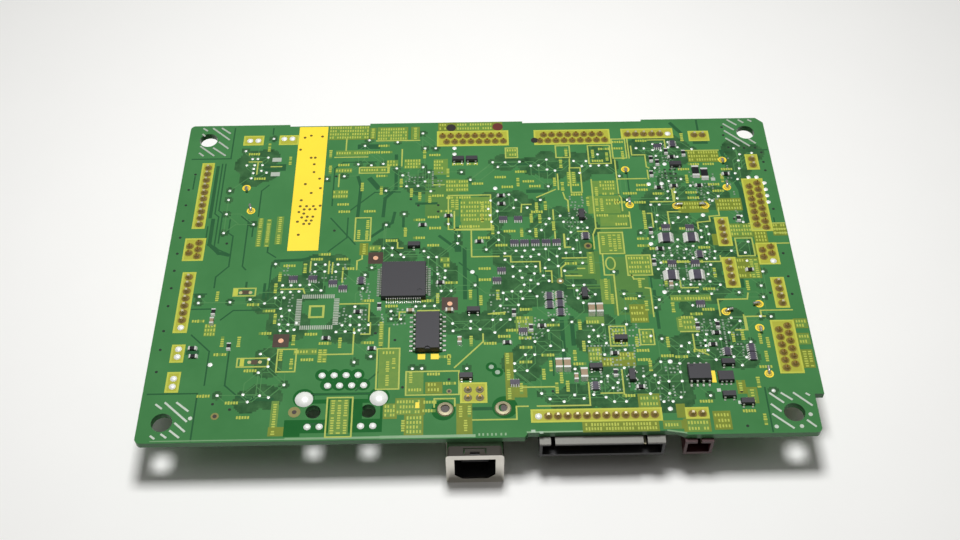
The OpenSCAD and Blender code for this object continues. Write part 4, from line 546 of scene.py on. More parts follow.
# Printed strokes between the parts, and closed frames round some of them: (x0, y0, x1, y1).
LINES = [
    [(38.4, 82), (38.4, 86)], [(52.2, 76.5), (52.2, 82)], [(35.8, 79.7), (43.8, 79.7)],
    [(37.2, 70), (37.2, 74)], [(64.9, 61.5), (64.9, 55.8), (73.5, 55.7)],
    [(68.8, 55.7), (68.8, 47.7), (75, 47.7)], [(76.2, 47.7), (77.7, 47.7), (77.7, 46), (84.3, 46), (84.3, 43)],
    [(85.5, 43.2), (86.8, 43.2), (86.8, 40)], [(90.3, 50), (90.3, 54)], [(89.5, 46.9), (95, 46.9)],
    [(89, 68), (84.5, 65.6)], [(89.8, 68), (89.8, 73)], [(104, 66), (104, 77.4)], [(104, 71.1), (111, 71.1)],
    [(97.8, 71), (97.8, 55.6), (106, 55.6), (106, 60.5)], [(97.7, 55.6), (97, 53.8), (97, 49.5)],
    [(100.8, 30.5), (100.8, 41.8), (98.7, 41.8), (98.7, 48)],
    [(108.3, 82), (108.3, 79), (111.5, 79), (111.5, 75), (112, 74.6)], [(111.6, 71), (111.6, 73.8)],
    [(111.3, 63.6), (116.8, 63.6), (116.8, 67.5)], [(115, 56), (115, 60.4), (118, 60.4)],
    [(121.6, 55), (121.6, 57), (124.6, 57.3), (124.6, 58.8), (127, 59), (127, 61)],
    [(113, 45.2), (125.5, 45.2), (125.5, 46.8)], [(123.2, 30), (123.2, 34.4), (129.8, 34.4), (130.2, 36)],
    [(107.5, 38), (108.6, 37.8), (108.6, 30)], [(26, 39.2), (31, 39.2), (31.4, 38)],
    [(39.5, 34.8), (46, 34.8), (46, 30)], [(56.8, 32.6), (61.4, 32.6)], [(50.6, 22.5), (50.6, 28)],
    [(36, 21.3), (42.9, 21.3), (42.9, 28)], [(44.5, 26.5), (46.4, 26.5), (46.4, 29.5)],
    [(64.8, 17.4), (71, 24), (71, 26)], [(60.5, 7.6), (60.5, 9.6), (64.8, 9.6), (64.8, 7.8)],
    [(68.5, 4.3), (77.6, 4.3), (77.6, 7.4), (80, 7.4)], [(82, 7.4), (93, 7.4), (93, 13)],
    [(79, 12.1), (85.8, 12.1)], [(95.5, 10.3), (100, 10.3)], [(114, 25.8), (118, 25.8)],
    [(128.5, 29.6), (133, 29.6)], [(128.6, 26), (128.6, 29.6)], [(20.5, 76.9), (23, 76.9)],
    [(100.3, 10), (100.3, 16)], [(15, 78.6), (18, 78.6)], [(17.2, 78.6), (17.2, 74.5)],
    [(88.1, 61.5), (88.1, 58.5)], [(88.2, 54.8), (88.2, 52.6)], [(90.2, 54), (90.2, 50.1), (91.5, 50.1)],
    [(90, 45), (89, 44), (89, 41.5)], [(90, 41.8), (93.5, 41.7)], [(92.8, 43.8), (94.3, 43.8)],
    [(93.5, 54.8), (95.8, 54.8)], [(72.3, 31.4), (76, 31.8)], [(104.8, 41.6), (105.2, 40.5), (107.5, 40.5)],
    [(36.4, 43.5), (36.4, 47)], [(37.2, 43.5), (37.2, 46.6)], [(39.6, 41), (39.6, 44)],
    [(42.7, 44.5), (42.7, 47), (43.8, 47.6), (43.8, 48.6)], [(51.8, 52.3), (51.8, 50.6), (53, 50.6)],
    [(52.7, 30.5), (52.7, 32.3), (55, 32.3)], [(32.2, 44), (32.2, 47)], [(60, 70.1), (62.5, 70.1)],
    [(93, 78), (92.9, 75.2)], [(80.6, 61), (80.8, 63.4), (83, 63.4)],
    [(90.8, 67), (91.2, 65), (91.8, 64.5), (91.8, 61)], [(104, 66), (104.5, 65), (104.5, 61)],
    [(45.8, 85.1), (56.4, 85.1)], [(132.2, 30), (132.2, 31.2), (139.2, 31.2)],
    [(115.5, 39.8), (115.5, 37.8), (119.3, 37.8)], [(139, 50.3), (141.8, 50.3)],
    [(110.2, 60), (111.2, 60), (111.2, 55.8)], [(116.5, 25), (116.5, 21.2), (119.2, 19.6)],
    [(128.3, 30), (128.3, 26), (126, 26)], [(133.5, 56.4), (141.8, 56.4)], [(133.5, 54.6), (141.8, 54.6)],
    [(139, 53.4), (141.8, 53.4)], [(117.4, 68), (117, 63.6)], [(112.6, 84), (116.8, 84), (116.8, 79)],
    [(107.6, 84.6), (107.6, 78)], [(121.6, 80.2), (129.6, 80.2)]]
RIMS = [
    (42, 74.3, 49, 76.2), (63.5, 56, 73.5, 66.6), (89.8, 78.5, 93.2, 82.5), (92.8, 67, 95.4, 75),
    (97.7, 76.3, 103.1, 82.4), (41.8, 53, 45.4, 60), (98.2, 48, 103.8, 54.3), (104, 41.6, 109.5, 47.4),
    (129.6, 46.7, 133.5, 52), (26.8, 17, 30.8, 22.8), (38.2, 0.8, 43.5, 10.3), (48.2, 12.2, 53, 22.6),
    (54.5, 10.6, 65.7, 16.5), (105, 22.5, 108, 26.5), (98.5, 22.3, 102, 27.5), (15.5, 37.5, 20.4, 39.6),
    (18.3, 18.4, 24.9, 20.6), (103.7, 78, 107, 84.5), (77.5, 78.7, 80.4, 82)]
film("outlines", runs(LINES, LINE) + [s for b in RIMS for s in rim(*b, LINE)], legend_thin, thick=0.022)

# Names of parts, a few letters each, written across the board or along it: the middle of each.
ACROSS = [
    (16, 81.2), (18.1, 73), (60.2, 80), (61, 66.6), (38.6, 64.3), (39, 62), (45, 62), (81, 74), (76, 72.3),
    (77.6, 69.1), (84.2, 69.2), (82.7, 70.8), (111, 83.8), (109.8, 69), (109.7, 67.5), (113.5, 66.2),
    (121.3, 66.4), (127.8, 66.8), (27.4, 45.9), (33.5, 47.7), (35.2, 49.1), (23.9, 33.2), (20.2, 35),
    (8.6, 30.7), (39.3, 47.6), (40.8, 44.8), (50.4, 52.9), (56.7, 53.6), (56.7, 59.1), (60, 59.9), (60.4, 56.5),
    (60, 51.3), (64.2, 40.3), (58.9, 35.3), (75.7, 51), (77.7, 55.2), (80.6, 32.5), (79.8, 30.2), (71.7, 44.2),
    (71.7, 41), (71.7, 53.3), (121.7, 37.4), (108.4, 52.3), (108.3, 50.2), (122.2, 49.4), (14.4, 21.7),
    (23.6, 27.1), (12.1, 11.2), (18.2, 9.4), (20.9, 5.8), (80.2, 22.3), (80, 18.5), (77.4, 26.9), (75.6, 25.3),
    (72.5, 23.5), (80.1, 24.8), (86.4, 28.1), (79.3, 29.2), (84.8, 20.2), (95, 28.8), (105.3, 21),
    (110.4, 19.5), (125.8, 5.4), (131, 16.3), (60.3, 15.8), (56.4, 11.9), (63.7, 13.4), (59.6, 8.8),
    (59.4, 6.7), (91.3, 45.3), (47.7, 83.4), (45.4, 81.2), (48.4, 81.2), (65.8, 76.8), (69.3, 76.8), (104, 35),
    (47.5, 73.3), (38.1, 77.1), (70.5, 70.3), (93.4, 69.4), (94, 66.3), (101.5, 66.4), (106.4, 66.4),
    (101.6, 81.2), (99.8, 77.2), (105.2, 83.5), (104.9, 81.3), (108.8, 63.5), (107, 66.4), (120.4, 74),
    (130.8, 73.8), (121.6, 64.7), (127, 68.9), (123, 75.6), (126.6, 75.6), (84.3, 61), (57.2, 31.7),
    (45.6, 35.6), (50.9, 34), (36.8, 24.2), (46, 24.2), (33.6, 26.7), (21.3, 17.4), (33.2, 20), (62.7, 20.2),
    (113.9, 55.3), (118.5, 55.2), (111, 49.3), (113.5, 45.3), (116.8, 45.3), (120, 45.3), (120.8, 31.7),
    (118, 30.5), (115.8, 29.6), (117.5, 20.7), (117.2, 7.9), (113.4, 19.2), (101.2, 9.6), (105.3, 18.6),
    (104, 63.6), (91.5, 17.8), (130.4, 41), (130.4, 43.4), (130.4, 45.4), (104.5, 59.3), (103.8, 56.8),
    (99.6, 59.6), (70, 56.8), (67.4, 56.8), (63, 61.7), (64.4, 65.9), (67.4, 65.9), (74.6, 31.5), (124.9, 71.5)]
ALONG = [
    (19.5, 83.4), (25, 78.8), (57.7, 80.3), (47.5, 68.6), (42.9, 69.8), (52.2, 70.9), (54.7, 67.7),
    (56.7, 66.4), (59.1, 65.8), (80.2, 70.6), (89, 70.5), (90.8, 69), (121.2, 84.8), (25.5, 42.8), (31, 45.1),
    (12, 37.5), (53.5, 55.4), (61.1, 36), (68.4, 36.8), (70.7, 35.2), (73.8, 55.7), (82.9, 59.1), (84.9, 58.9),
    (80.5, 54.8), (83.8, 54.6), (88, 56.6), (74.5, 36.7), (98.8, 39.4), (98.7, 36.2), (99.9, 35), (109.4, 59.5),
    (109.4, 56.6), (123.6, 42), (130.5, 38.2), (113.1, 32.4), (14.5, 25.1), (18.1, 25), (29.9, 25.2),
    (51.8, 18.7), (68.4, 24.2), (63.6, 19.5), (76.1, 19.5), (76.2, 15.3), (76.3, 10.6), (78.8, 11.8),
    (92.2, 28.1), (92.7, 22.4), (90.6, 20), (83.7, 15.3), (85.3, 17.4), (87.4, 14.3), (86.3, 11.8),
    (88.6, 12.2), (104.2, 23.3), (106.5, 17), (110.9, 23.1), (128.8, 3.3), (128.8, 12.4), (131, 23.6),
    (132.5, 22.6), (131.6, 19), (50.5, 17.9), (50.5, 14.4), (40, 24.3), (24.8, 39.5), (25.4, 31), (55.5, 15),
    (71.5, 63), (71.4, 59.4), (96.5, 64), (63.4, 74), (49, 75.6), (92.3, 80.3), (90.8, 76.4), (98.8, 79.6),
    (102.2, 78.6), (106.1, 79), (98.8, 67.2), (129.3, 70.9), (120.8, 70.8), (84.3, 62.6), (86.4, 62.9),
    (106.4, 39.4), (127.3, 24.7), (114.2, 28.4), (87.6, 36), (54.1, 3.2), (29.9, 19), (27.5, 21.2),
    (34.7, 80.8), (34.9, 75.6), (44.7, 57.9), (44.6, 54.7), (42.7, 54.9), (125.2, 24.2), (107.3, 33),
    (99.2, 51.9), (67, 3), (66, 6.4), (67.8, 6.4), (124.9, 11.6), (112.3, 39.6)]


LETTER, LETTER_PITCH, LINE_PITCH, STROKE = 0.82, 0.6, 1.18, 0.17


def words(x0, y0, x1, y1):
    """A block of print: rows of short upright bars, some of them missing."""
    rows = max(1, int((y1 - y0) / LINE_PITCH + 0.4))
    count = max(2, int((x1 - x0) / LETTER_PITCH + 0.3))
    bars = []
    for row in range(rows):
        middle = y0 + (row + 0.5) * (y1 - y0) / rows
        for i in range(count):
            x = x0 + (i + 0.5) * (x1 - x0) / count
            if (i * 5 + row * 3 + int(x0)) % 11:
                high = LETTER * (0.5 if (i * 3 + row + int(y0)) % 4 == 0 else 0.4)
                bars.append(box(x - STROKE, middle - high, x + STROKE, middle + high))
    return bars


def turned(outlines, x, y):
    """The same print, turned a quarter about a point."""
    return [[(x - (py - y), y + (px - x)) for px, py in o] for o in outlines]


# Longer pieces of print: (x0, y0, x1, y1).
BLOCKS = [
    (34, 85.9, 43.8, 90.4), (44.2, 86, 45.4, 89.5), (46, 85.3, 53.3, 89.6), (54.5, 85.5, 56.2, 89.6),
    (36, 80.2, 44, 82), (36.2, 74.5, 40.2, 76), (42.3, 74.6, 48.4, 76), (48.5, 76.4, 51.3, 78.5),
    (52.8, 75.6, 56.8, 78.7), (59.9, 75, 62.3, 78.3), (62.9, 67.8, 68.3, 71.7), (66.3, 58.3, 73.3, 64.9),
    (64, 62, 66, 65.4), (36, 66.2, 39.6, 68.9), (77.7, 79, 80.2, 81.9), (92, 69.9, 94.2, 73.7),
    (99.6, 67.5, 103.3, 70.7), (98, 60.8, 100.3, 65), (100.7, 62.7, 103.9, 64.9), (122, 76.5, 129.4, 80.1),
    (117.8, 61, 124.5, 63.5), (126.8, 60.7, 132.6, 64.2), (45.3, 49.9, 48, 51.5), (61.6, 46.2, 63.8, 47.7),
    (62.3, 44.7, 63.8, 46), (100.2, 48.6, 103.4, 53.8), (104.3, 42, 109.2, 47.2), (95.1, 42.2, 96.7, 48.6),
    (128.9, 52.7, 133.8, 56.2), (138.9, 52.8, 141.8, 56.3), (134.3, 50.8, 137, 53.9),
    (112.8, 34.2, 121.8, 35.4), (103.6, 30.2, 106.5, 33.2), (131.8, 40.3, 133.8, 45.8),
    (10.2, 26.6, 12.7, 29.9), (30.2, 21.3, 35.2, 22.9), (35.4, 19.2, 37.4, 22.7), (38.8, 1.4, 42.8, 9.8),
    (49.2, 21, 52, 22), (59, 11.2, 61.6, 13.8), (52.6, 5.9, 57.6, 9.6), (50.1, 5.3, 52.4, 8.4),
    (54.7, 1.2, 58, 5.6), (93.7, 18.6, 96.2, 21.9), (96.4, 17.2, 98.5, 19.2), (100, 18.6, 103.3, 20.5),
    (103.7, 28.6, 107.2, 29.9), (105.4, 22.9, 107.6, 26.1), (98.9, 22.7, 101.6, 27), (91.5, 1.2, 106.4, 3.2),
    (103.4, 6.8, 107.2, 9.6), (114.8, 26.2, 117.4, 29), (107.9, 1.5, 111.4, 3.2), (112.6, 0.7, 117, 3.5),
    (118.3, 1.2, 121.5, 5.2), (126.2, 7.4, 128, 10.8), (48.3, 23.2, 49.4, 29.8), (61.2, 88.4, 63, 91),
    (65.6, 88.3, 74.4, 91), (139.3, 16, 141.5, 20.3), (139.3, 22, 141.6, 24.7), (139.3, 26.4, 141.7, 28.6),
    (19, 51.7, 20.3, 60.4), (21, 51.6, 22.2, 60), (23.4, 52.3, 25, 60.8), (26.6, 1.4, 28.2, 9.7),
    (43.3, 48.9, 45, 52.1)]
# Where the print is dense, its thin ink has closed up into one olive ground.
ink_ground = surface("ink_ground", ("#7E892C", "#66792E"), grain=2.2, rough=(0.5, 0.6), Specular_IOR_Level=0.15)
GROUNDS = [
    (33.9, 85.7, 43.9, 90.5), (44.1, 85.7, 45.6, 89.7), (45.9, 85.2, 53.5, 89.8), (54.3, 85.4, 56.4, 89.8),
    (61, 88, 77, 91.1), (49.9, 4.9, 52.8, 8.6), (52.4, 5.8, 58.6, 9.9), (54.3, 0.9, 58.3, 5.8),
    (65.1, 0.9, 68.4, 8.3), (91, 0.9, 106.8, 3.5), (103, 6.4, 107.6, 10), (107.6, 1.4, 111.8, 3.4),
    (111.8, 0.6, 117.4, 3.8), (110.7, 4, 112.6, 7.4), (118.1, 1, 121.8, 5.5), (124.1, 9.6, 126, 13),
    (126, 7.2, 128.2, 11.2), (128.7, 52.4, 134, 56.4), (134.1, 50.4, 137.2, 54.1), (138.7, 52.6, 142, 56.5),
    (138.9, 26.2, 141.9, 28.8), (138.9, 21.9, 141.7, 24.9), (138.9, 15.8, 141.6, 20.6),
    (124.4, 50, 125.8, 53.4), (129, 40.2, 134.1, 46.2), (133.4, 47, 134.3, 50.2), (121.9, 76.3, 129.5, 80.3),
    (117.6, 60, 124.7, 63.7), (126.6, 60.5, 132.8, 64.4), (103.4, 28.4, 107.4, 33.4), (93.5, 18.4, 96.4, 22.1),
    (96.2, 17, 103.5, 19.4), (99.8, 19.4, 103.4, 20.7), (43.1, 48.7, 45.1, 52.3), (26.4, 1.2, 29.6, 3.4),
    (75.5, 9, 77.3, 21), (77.3, 9.6, 80, 12.6), (58.6, 10.9, 62.2, 13.8)]
film("ink_grounds", boxes(GROUNDS), ink_ground, thick=0.0135)
# Thin ink that has spread between the bars of a word leaves the mask beneath it olive.
ink_haze = surface("ink_haze", ("#708E3E", "#5A823C"), grain=1.6, rough=(0.5, 0.6), Specular_IOR_Level=0.15)
HAZE_X, HAZE_Y = 1.4, 0.36
haze = [box(x - HAZE_X, y - HAZE_Y, x + HAZE_X, y + HAZE_Y) for x, y in ACROSS]
haze += [box(x - HAZE_Y, y - HAZE_X, x + HAZE_Y, y + HAZE_X) for x, y in ALONG] + boxes(BLOCKS)
film("ink_haze", haze, ink_haze, thick=0.014)
HAZY = [
    (98.3, 48.4, 103.6, 54.3), (96.4, 60.2, 104, 65.8), (99, 56.3, 105.4, 59.8), (98, 66.2, 103.6, 70.6),
    (104.2, 41.9, 109.3, 47.5), (97.5, 33.6, 99.8, 40.6), (66.5, 56.2, 73.4, 66), (60, 73.4, 63.4, 78.6),
    (78.2, 26, 82, 30.6), (112.8, 34, 121.8, 35.8), (113.4, 26, 117.6, 29.6), (93.6, 28.2, 97.6, 30.2),
    (48.6, 12.4, 52.9, 22.6), (54.7, 10.9, 58.2, 16.7)]
film("block_haze", boxes(HAZY), ink_haze, thick=0.0118)


def name_bars(x, y, half_x=1.45, half_y=0.4):
    """The print of one name, centred on a point."""
    return words(x - half_x, y - half_y, x + half_x, y + half_y)


# A block much taller than wide is read from the side.
small = [b for x, y in ACROSS for b in name_bars(x, y)]
small += [b for x, y in ALONG for b in turned(name_bars(x, y), x, y)]
for x0, y0, x1, y1 in BLOCKS:
    if y1 - y0 > 1.6 * (x1 - x0):
        x, y = (x0 + x1) / 2, (y0 + y1) / 2
        small += turned(name_bars(x, y, (y1 - y0) / 2, (x1 - x0) / 2), x, y)
    else:
        small += words(x0, y0, x1, y1)
film("small_print", small, legend_small, thick=0.024)

# On the underside, the legend frames the foot of each housing and large chip, inside the edges.
FRAMED = (
    "left_header_10way", "left_header_7way", "left_flex_5way", "rear_header_5way", "rear_header_2way",
    "rear_flex_16way", "rear_flex_17way", "right_header_2way", "right_header_4way", "right_flex_15way",
    "right_flex_4way", "right_flex_12way", "middle_header_rear", "middle_header_front",
    "processor_body", "memory_body", "power_inductor", "crystal_can")
ROUND, LEFT, FRONT, RIGHT, REAR = 0.8, 0.5, 1.8, 141.2, 89.4
frames = []
for node in FRAMED:
    low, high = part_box(node)
    frames += rim(max(low.x * 1000 - DATUM_X - ROUND, LEFT), max(low.y * 1000 - DATUM_Y - ROUND, FRONT),
                  min(high.x * 1000 - DATUM_X + ROUND, RIGHT), min(high.y * 1000 - DATUM_Y + ROUND, REAR), 0.3)
film("underside_frames", frames, legend_thin, thick=0.02, under=True)

# --- Bare lands ---
# Tinned copper lands of parts that this model of the board doesn't carry: a square chip of 64
# leads, diodes and small chips. Each is a flat pad with a thin coat of tin.
EMPTY_X, EMPTY_Y, OUT_X, OUT_Y = 34.55, 32.75, 4.15, 4.25
LEAD_PITCH, LAND = 0.46, 0.14
lands = []
for i in range(16):
    step = (i - 7.5) * LEAD_PITCH
    for way in (1, -1):
        side, end = EMPTY_X + way * OUT_X, EMPTY_Y + way * OUT_Y
        lands.append(box(side - 0.6, EMPTY_Y + step - LAND, side + 0.6, EMPTY_Y + step + LAND))
        lands.append(box(EMPTY_X + step - LAND, end - 0.55, EMPTY_X + step + LAND, end + 0.55))
LANDS = [(20.6, 78.55, 22.8, 79.85), (20.6, 73.75, 22.8, 75.05), (126.6, 70.1, 127.6, 71.1),
         (123.8, 7.1, 124.6, 7.9), (119.8, 10.2, 120.6, 11)]
film("bare_lands", boxes(LANDS), tinned_copper, thick=0.03)
# Lands that were only dipped, not soldered: a thinner, greyer tin.
film("chip_lands", lands,
     surface("dipped_tin", ("#B4BCAE", "#929C8C"), grain=1.2, rough=(0.35, 0.5), metallic=0.3),
     thick=0.027)
# Two places for diodes: stained lands either side of a dark window in the mask.
film("diode_windows", [box(17.3, 37.9, 19.1, 39.1), box(21.3, 19, 22.7, 20.2)],
     surface("bare_laminate", ("#3A2E16", "#4C3E20"), grain=1, rough=(0.5, 0.6)), thick=0.0125)
DIODE_LANDS = [(17.1, 38.4), (19.3, 38.4), (20.9, 19.6), (23.2, 19.6)]
film("diode_lands", [disc(x, y, 0.42) for x, y in DIODE_LANDS],
     surface("stained_tin", ("#CFC88E", "#A89E66"), grain=0.8, rough=(0.35, 0.5), metallic=0.2),
     thick=0.0265)
# Test points and other small rings: (look of the middle, x, y, radius of the print, of the middle).
RINGS = [
    ("dark", 95.6, 50.4, 0.95, 0.5), ("dark", 31.5, 6.9, 1.3, 0.5), ("dark", 15.1, 6.2, 0.85, 0.45),
    ("dark", 63.6, 11.4, 0.6, 0.3), ("bright", 88.6, 40.3, 0.8, 0.35), ("dull", 72.6, 17.4, 0, 0.55),
    ("dull", 73.9, 16, 0, 0.55)]
# Pairs of small lands for chips that aren't fitted, where the wiring is dense. Each area is one
# rectangle, on a grid whose places are shifted and turned by their own row and column numbers.
# These lands were never heated, so their tin has stayed dull.
UNFITTED = [
    (112.4, 67.4, 121.2, 83.2), (53.2, 69.6, 62.8, 75), (26.2, 30.2, 30.4, 46.8), (31.6, 40.2, 41.6, 46.6),
    (72.4, 28.6, 77.8, 38), (84.4, 30.4, 90.6, 39), (91.2, 54.6, 96.4, 66), (110.4, 36.6, 124.8, 50),
    (93.4, 10.6, 106.8, 29.2), (107.2, 8.2, 113.8, 18.6), (116.8, 19.2, 129.4, 29.6), (38.4, 26.2, 46.6, 34),
    (60.4, 36.2, 62.6, 45.8), (43.2, 36, 46.8, 45.6), (48.2, 28.4, 54.6, 34.6), (121.6, 62.4, 128.8, 74.8),
    (78.4, 24, 84.4, 31), (130.4, 56.6, 133.2, 79)]
dull_tin = surface("dull_tin", ("#A3B09E", "#5F7A66"), grain=0.8, rough=(0.35, 0.5), metallic=0.3)
ROW, COLUMN, APART, HALF_LAND, KEEP_OFF = 1.25, 1.5, 0.38, 0.2, 0.95
# The first two boxes, by the front edge, are painted highlights in dull tin, not lands.
dull_lands_and_glints = [box(80.4, 1.1, 81.3, 1.7), box(82.1, 0.8, 82.9, 1.3)] + [
    disc(x, y, inner) for kind, x, y, r, inner in RINGS if kind == "dull"]
for x0, y0, x1, y1 in UNFITTED:
    for row in range(int((y1 - y0) / ROW)):
        for column in range(int((x1 - x0) / COLUMN)):
            turn = (row * 7 + column * 13 + int(x0) * 3 + row * column) % 11
            x = x0 + 0.75 + column * COLUMN + (turn - 5) * 0.07
            y = y0 + 0.6 + row * ROW + (turn % 4 - 1.5) * 0.12
            if turn % 3 == 0 or any(math.dist((x, y), v) < KEEP_OFF for v in VIAS):
                continue
            for side in (-APART, APART):
                px, py = (x + side, y) if turn % 2 else (x, y + side)
                dull_lands_and_glints.append(box(px - HALF_LAND, py - HALF_LAND, px + HALF_LAND, py + HALF_LAND))
film("unfitted_lands_and_glints", dull_lands_and_glints, dull_tin, thick=0.02)
film("empty_square", rim(32.9, 31.3, 35.9, 34.3, 0.5), legend_thin, thick=0.026)

# Sighting marks for the placing machine: a bare copper dot in a window left free of mask.
mark_window = surface("mark_window", ("#33231A", "#46311F"), grain=2, rough=(0.4, 0.5))
bare_copper = surface("bare_copper", ("#F0BE9C", "#DFA27C"), grain=1, rough=(0.35, 0.45), metallic=0.3)
MARKS = [(46.9, 47.8, 1.7), (63.8, 34.4, 1.8), (27.2, 25.1, 1.75)]
film("mark_windows", [box(x - r, y - r, x + r, y + r) for x, y, r in MARKS], mark_window, thick=0.012)
film("mark_dots", [disc(x, y, 0.58) for x, y, r in MARKS], bare_copper, thick=0.03)

# Each ring of print is olive, round a tinned pad or round a hole whose dark middle is painted shade.
ring_print = surface("ring_print", ("#86803A", "#6C6A30"), grain=1, rough=(0.4, 0.5))
ring_hole_shade = surface("ring_hole_shade", ("#241A12", "#33261A"), grain=1, rough=(0.5, 0.6))
film("ring_prints", [disc(x, y, r) for kind, x, y, r, inner in RINGS if r], ring_print, thick=0.0285)
for name, look, material, slot in (("ring_hole_shades", "dark", ring_hole_shade, "board_laminate"),
                                   ("ring_pads", "bright", tinned_copper, "tin")):
    film(name, [disc(x, y, inner) for kind, x, y, r, inner in RINGS if kind == look],
         material, thick=0.0345)
OVAL = [(100.3 + 1.05 * math.cos(a), 45.1 + 1.8 * math.sin(a))
        for a in [math.tau * i / 24 for i in range(24)]]
film("oval_print", [bar(*OVAL[i - 1], *OVAL[i], 0.36) for i in range(24)], legend_thin, thick=0.0225)
# Painted shade: a dark brown disc in each of the two holes round the legs of the USB socket, where the hole
# lies in shade.
film("painted_leg_hole_shade", [disc(62.75, 7, 0.95, 18), disc(75.25, 7.1, 0.95, 18)],
     surface("painted_leg_hole_shade", ("#332A24", "#4A4038"), grain=1, rough=(0.3, 0.4)), thick=0.01)

# Felt-pen dots that the tester left on the legend: thin matt ink, black or red over the yellow.
pen_black = surface("pen_black", ("#14110E", "#241F1A"), grain=1.5, rough=(0.6, 0.7))
pen_red = surface("pen_red", ("#4F1A10", "#6B2417"), grain=1.5, rough=(0.6, 0.7))
film("pen_dots_black", [disc(64.2, 89.3, 1.2, 20), disc(84.8, 84.5, 0.9, 20)], pen_black, thick=0.036)
film("pen_dot_red", [disc(75.8, 89.4, 1.3, 20)], pen_red, thick=0.036)

# --- USB socket ---
# A type B socket: a folded shell of nickel-plated steel round a black nylon insulator, with four
# gold-flashed contacts. Its two legs and four tails come through the laminate and are soldered.
nickel_steel = surface("nickel_steel", ("#D2CEC6", "#BFBAB0"), grain=4, rough=(0.05, 0.09), metallic=1.0)
black_nylon = surface("black_nylon", ("#121214", "#1B1B1E"), grain=0.4, rough=(0.45, 0.6), bump=0.01)
gold_flash = surface("gold_flash", ("#E2BE62", "#CFA548"), grain=0.8, rough=(0.22, 0.3), metallic=1.0)
dress(nickel_steel, "usb_shell")
dress(black_nylon, "usb_insulator")
dress(gold_flash, "usb_contacts", "flex_contacts")
# The joints of the socket are duller, and brown with flux.
dull_solder = surface("dull_solder", ("#A49C78", "#78725A"), grain=1.2, rough=(0.35, 0.5), bump=0.03,
                      metallic=0.3)
dress(dull_solder, "usb_solder")
dress(bright_solder, "big_filled_pads", "filled_pads", "processor_balls")
# The clinched leads stand in joints that yellow ink has flowed over.
inked_solder = surface("inked_solder", ("#DCCB52", "#B8A03A"), grain=0.8, rough=(0.35, 0.5), metallic=0.15)
dress(inked_solder, "choke_solder")

# --- Wire headers and their joints ---
# Moulded nylon housings under the board hold square tinned pins. The pins end in round joints on
# this face, which flux has stained brown.
stained_joint = surface("stained_joint", ("#A8925C", "#806A42"), grain=0.7, rough=(0.22, 0.35), metallic=0.4)
tinned_pin = surface("tinned_pin", ("#E6DEC0", "#C9BF9C"), grain=0.5, rough=(0.3, 0.4), metallic=0.5)
natural_nylon = surface("natural_nylon", ("#E4DCC4", "#D9D0B6"), grain=0.5, rough=(0.4, 0.55), bump=0.01,
                        Subsurface_Weight=0.05)
grey_nylon = surface("grey_nylon", ("#807F78", "#76756E"), grain=0.5, rough=(0.4, 0.55), bump=0.01)
# The red housing stands in the shadow under the board's front edge, so its red is darkened as painted shade.
red_nylon_painted_shade = surface("red_nylon_painted_shade", ("#341013", "#3E1418"), grain=0.5, rough=(0.4, 0.55), bump=0.01)
dress(stained_joint, "header_solder", "flex_solder")
dress(tinned_pin, "header_pins", "front_header_pins")
# The front 12-way housing, in the shadow under the board's front edge, is dressed in black nylon as painted
# shade.
dress(black_nylon, "front_header_12way")
dress(natural_nylon, "left_header_10way", "left_header_7way", "rear_header_5way", "rear_header_2way",
      "right_header_2way", "right_header_4way", "middle_header_rear", "middle_header_front")
dress(grey_nylon, "front_header_lock")
dress(red_nylon_painted_shade, "front_header_2way")

# --- Flat-cable connectors ---
# Glass-filled nylon housings for 1 mm flat cable, under the board on three edges. Glass fibre
# makes the moulding matt and slightly mottled.
glass_nylon = surface("glass_nylon", ("#CDBF9A", "#BFB08A"), grain=0.35, rough=(0.55, 0.7), bump=0.02)
dress(glass_nylon, "left_flex_5way", "rear_flex_16way", "rear_flex_17way", "right_flex_15way",
      "right_flex_4way", "right_flex_12way")

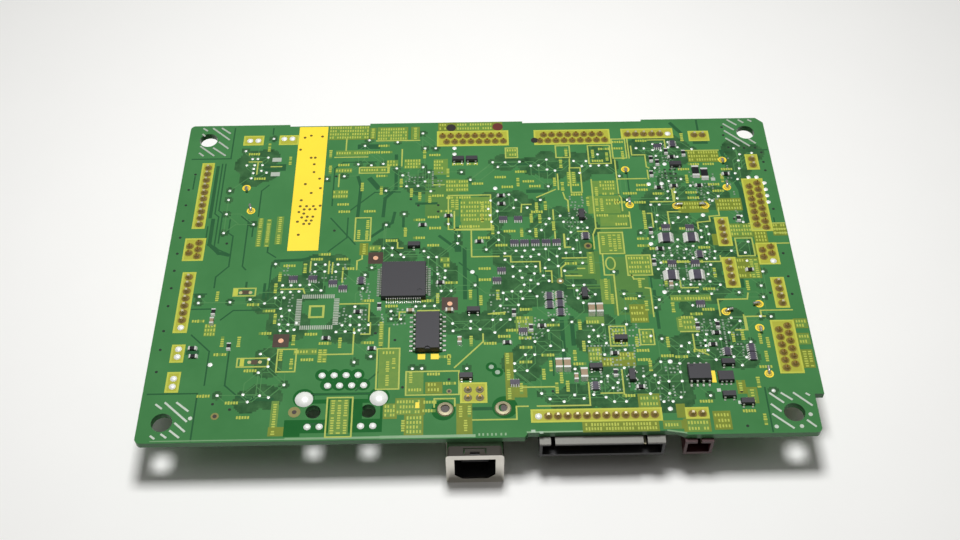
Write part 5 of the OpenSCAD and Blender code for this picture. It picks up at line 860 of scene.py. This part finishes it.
# --- Moulded chips ---
# Black epoxy bodies with fine sandblasted tops and tinned gull-wing leads, reflowed to the lands.
# The memory, the processor and the drivers sit on the underside.
chip_epoxy = surface("chip_epoxy", ("#2B2A2E", "#35343A"), grain=0.25, rough=(0.5, 0.65), bump=0.012)
tinned_lead = surface("tinned_lead", ("#D3D3CC", "#B4B5AE"), grain=0.5, rough=(0.25, 0.4), metallic=0.85)
dress(chip_epoxy, "qfp_body", "wide_ic_body", "small_ic_body", "transistor_bodies", "processor_body",
      "memory_body", "driver_bodies")
dress(tinned_lead, "qfp_leads", "wide_ic_leads", "small_ic_leads", "transistor_leads", "memory_leads",
      "driver_pads", "capacitor_terminals", "choke_leads")

# --- Chip resistors and capacitors ---
# Small ceramic blocks with plated ends: resistors glazed black, capacitors fired tan, and, glazed
# violet grey, arrays of four resistors and four wide resistors that measure the motor current.
black_glaze = surface("black_glaze", ("#17171A", "#242428"), grain=0.8, rough=(0.25, 0.4))
fired_tan = surface("fired_tan", ("#A08A6C", "#8A7458"), grain=0.8, rough=(0.4, 0.55))
plated_end = surface("plated_end", ("#EEEFEA", "#D2D4CE"), grain=0.5, rough=(0.22, 0.35), metallic=0.3)
violet_glaze = surface("violet_glaze", ("#3D3945", "#55515E"), grain=0.8, rough=(0.25, 0.4))
dress(black_glaze, "chip_resistor_bodies")
dress(violet_glaze, "sense_resistor_bodies", "resistor_array_bodies")
dress(fired_tan, "chip_capacitor_bodies")
dress(plated_end, "chip_resistor_ends", "chip_capacitor_ends", "resistor_array_ends", "sense_resistor_ends")

# --- Tall parts under the board ---
# Lacquered ferrite chokes, aluminium capacitor cans on black bases, a shielded inductor and a
# steel crystal can.
choke_lacquer = surface("choke_lacquer", ("#3C4A36", "#2E3A2A"), grain=2, rough=(0.15, 0.28), Coat_Weight=0.4)
can_aluminium = surface("can_aluminium", ("#D4D6D8", "#C2C5C8"), grain=1.5, rough=(0.22, 0.34), bump=0.008,
                        metallic=1.0, stretch=(1, 1, 0.15))
grey_ferrite = surface("grey_ferrite", ("#3A3B3D", "#2C2D30"), grain=0.5, rough=(0.55, 0.7), bump=0.02)
dress(choke_lacquer, "choke_bodies")
dress(can_aluminium, "capacitor_cans", "crystal_can")
dress(black_nylon, "capacitor_bases")
dress(grey_ferrite, "power_inductor")
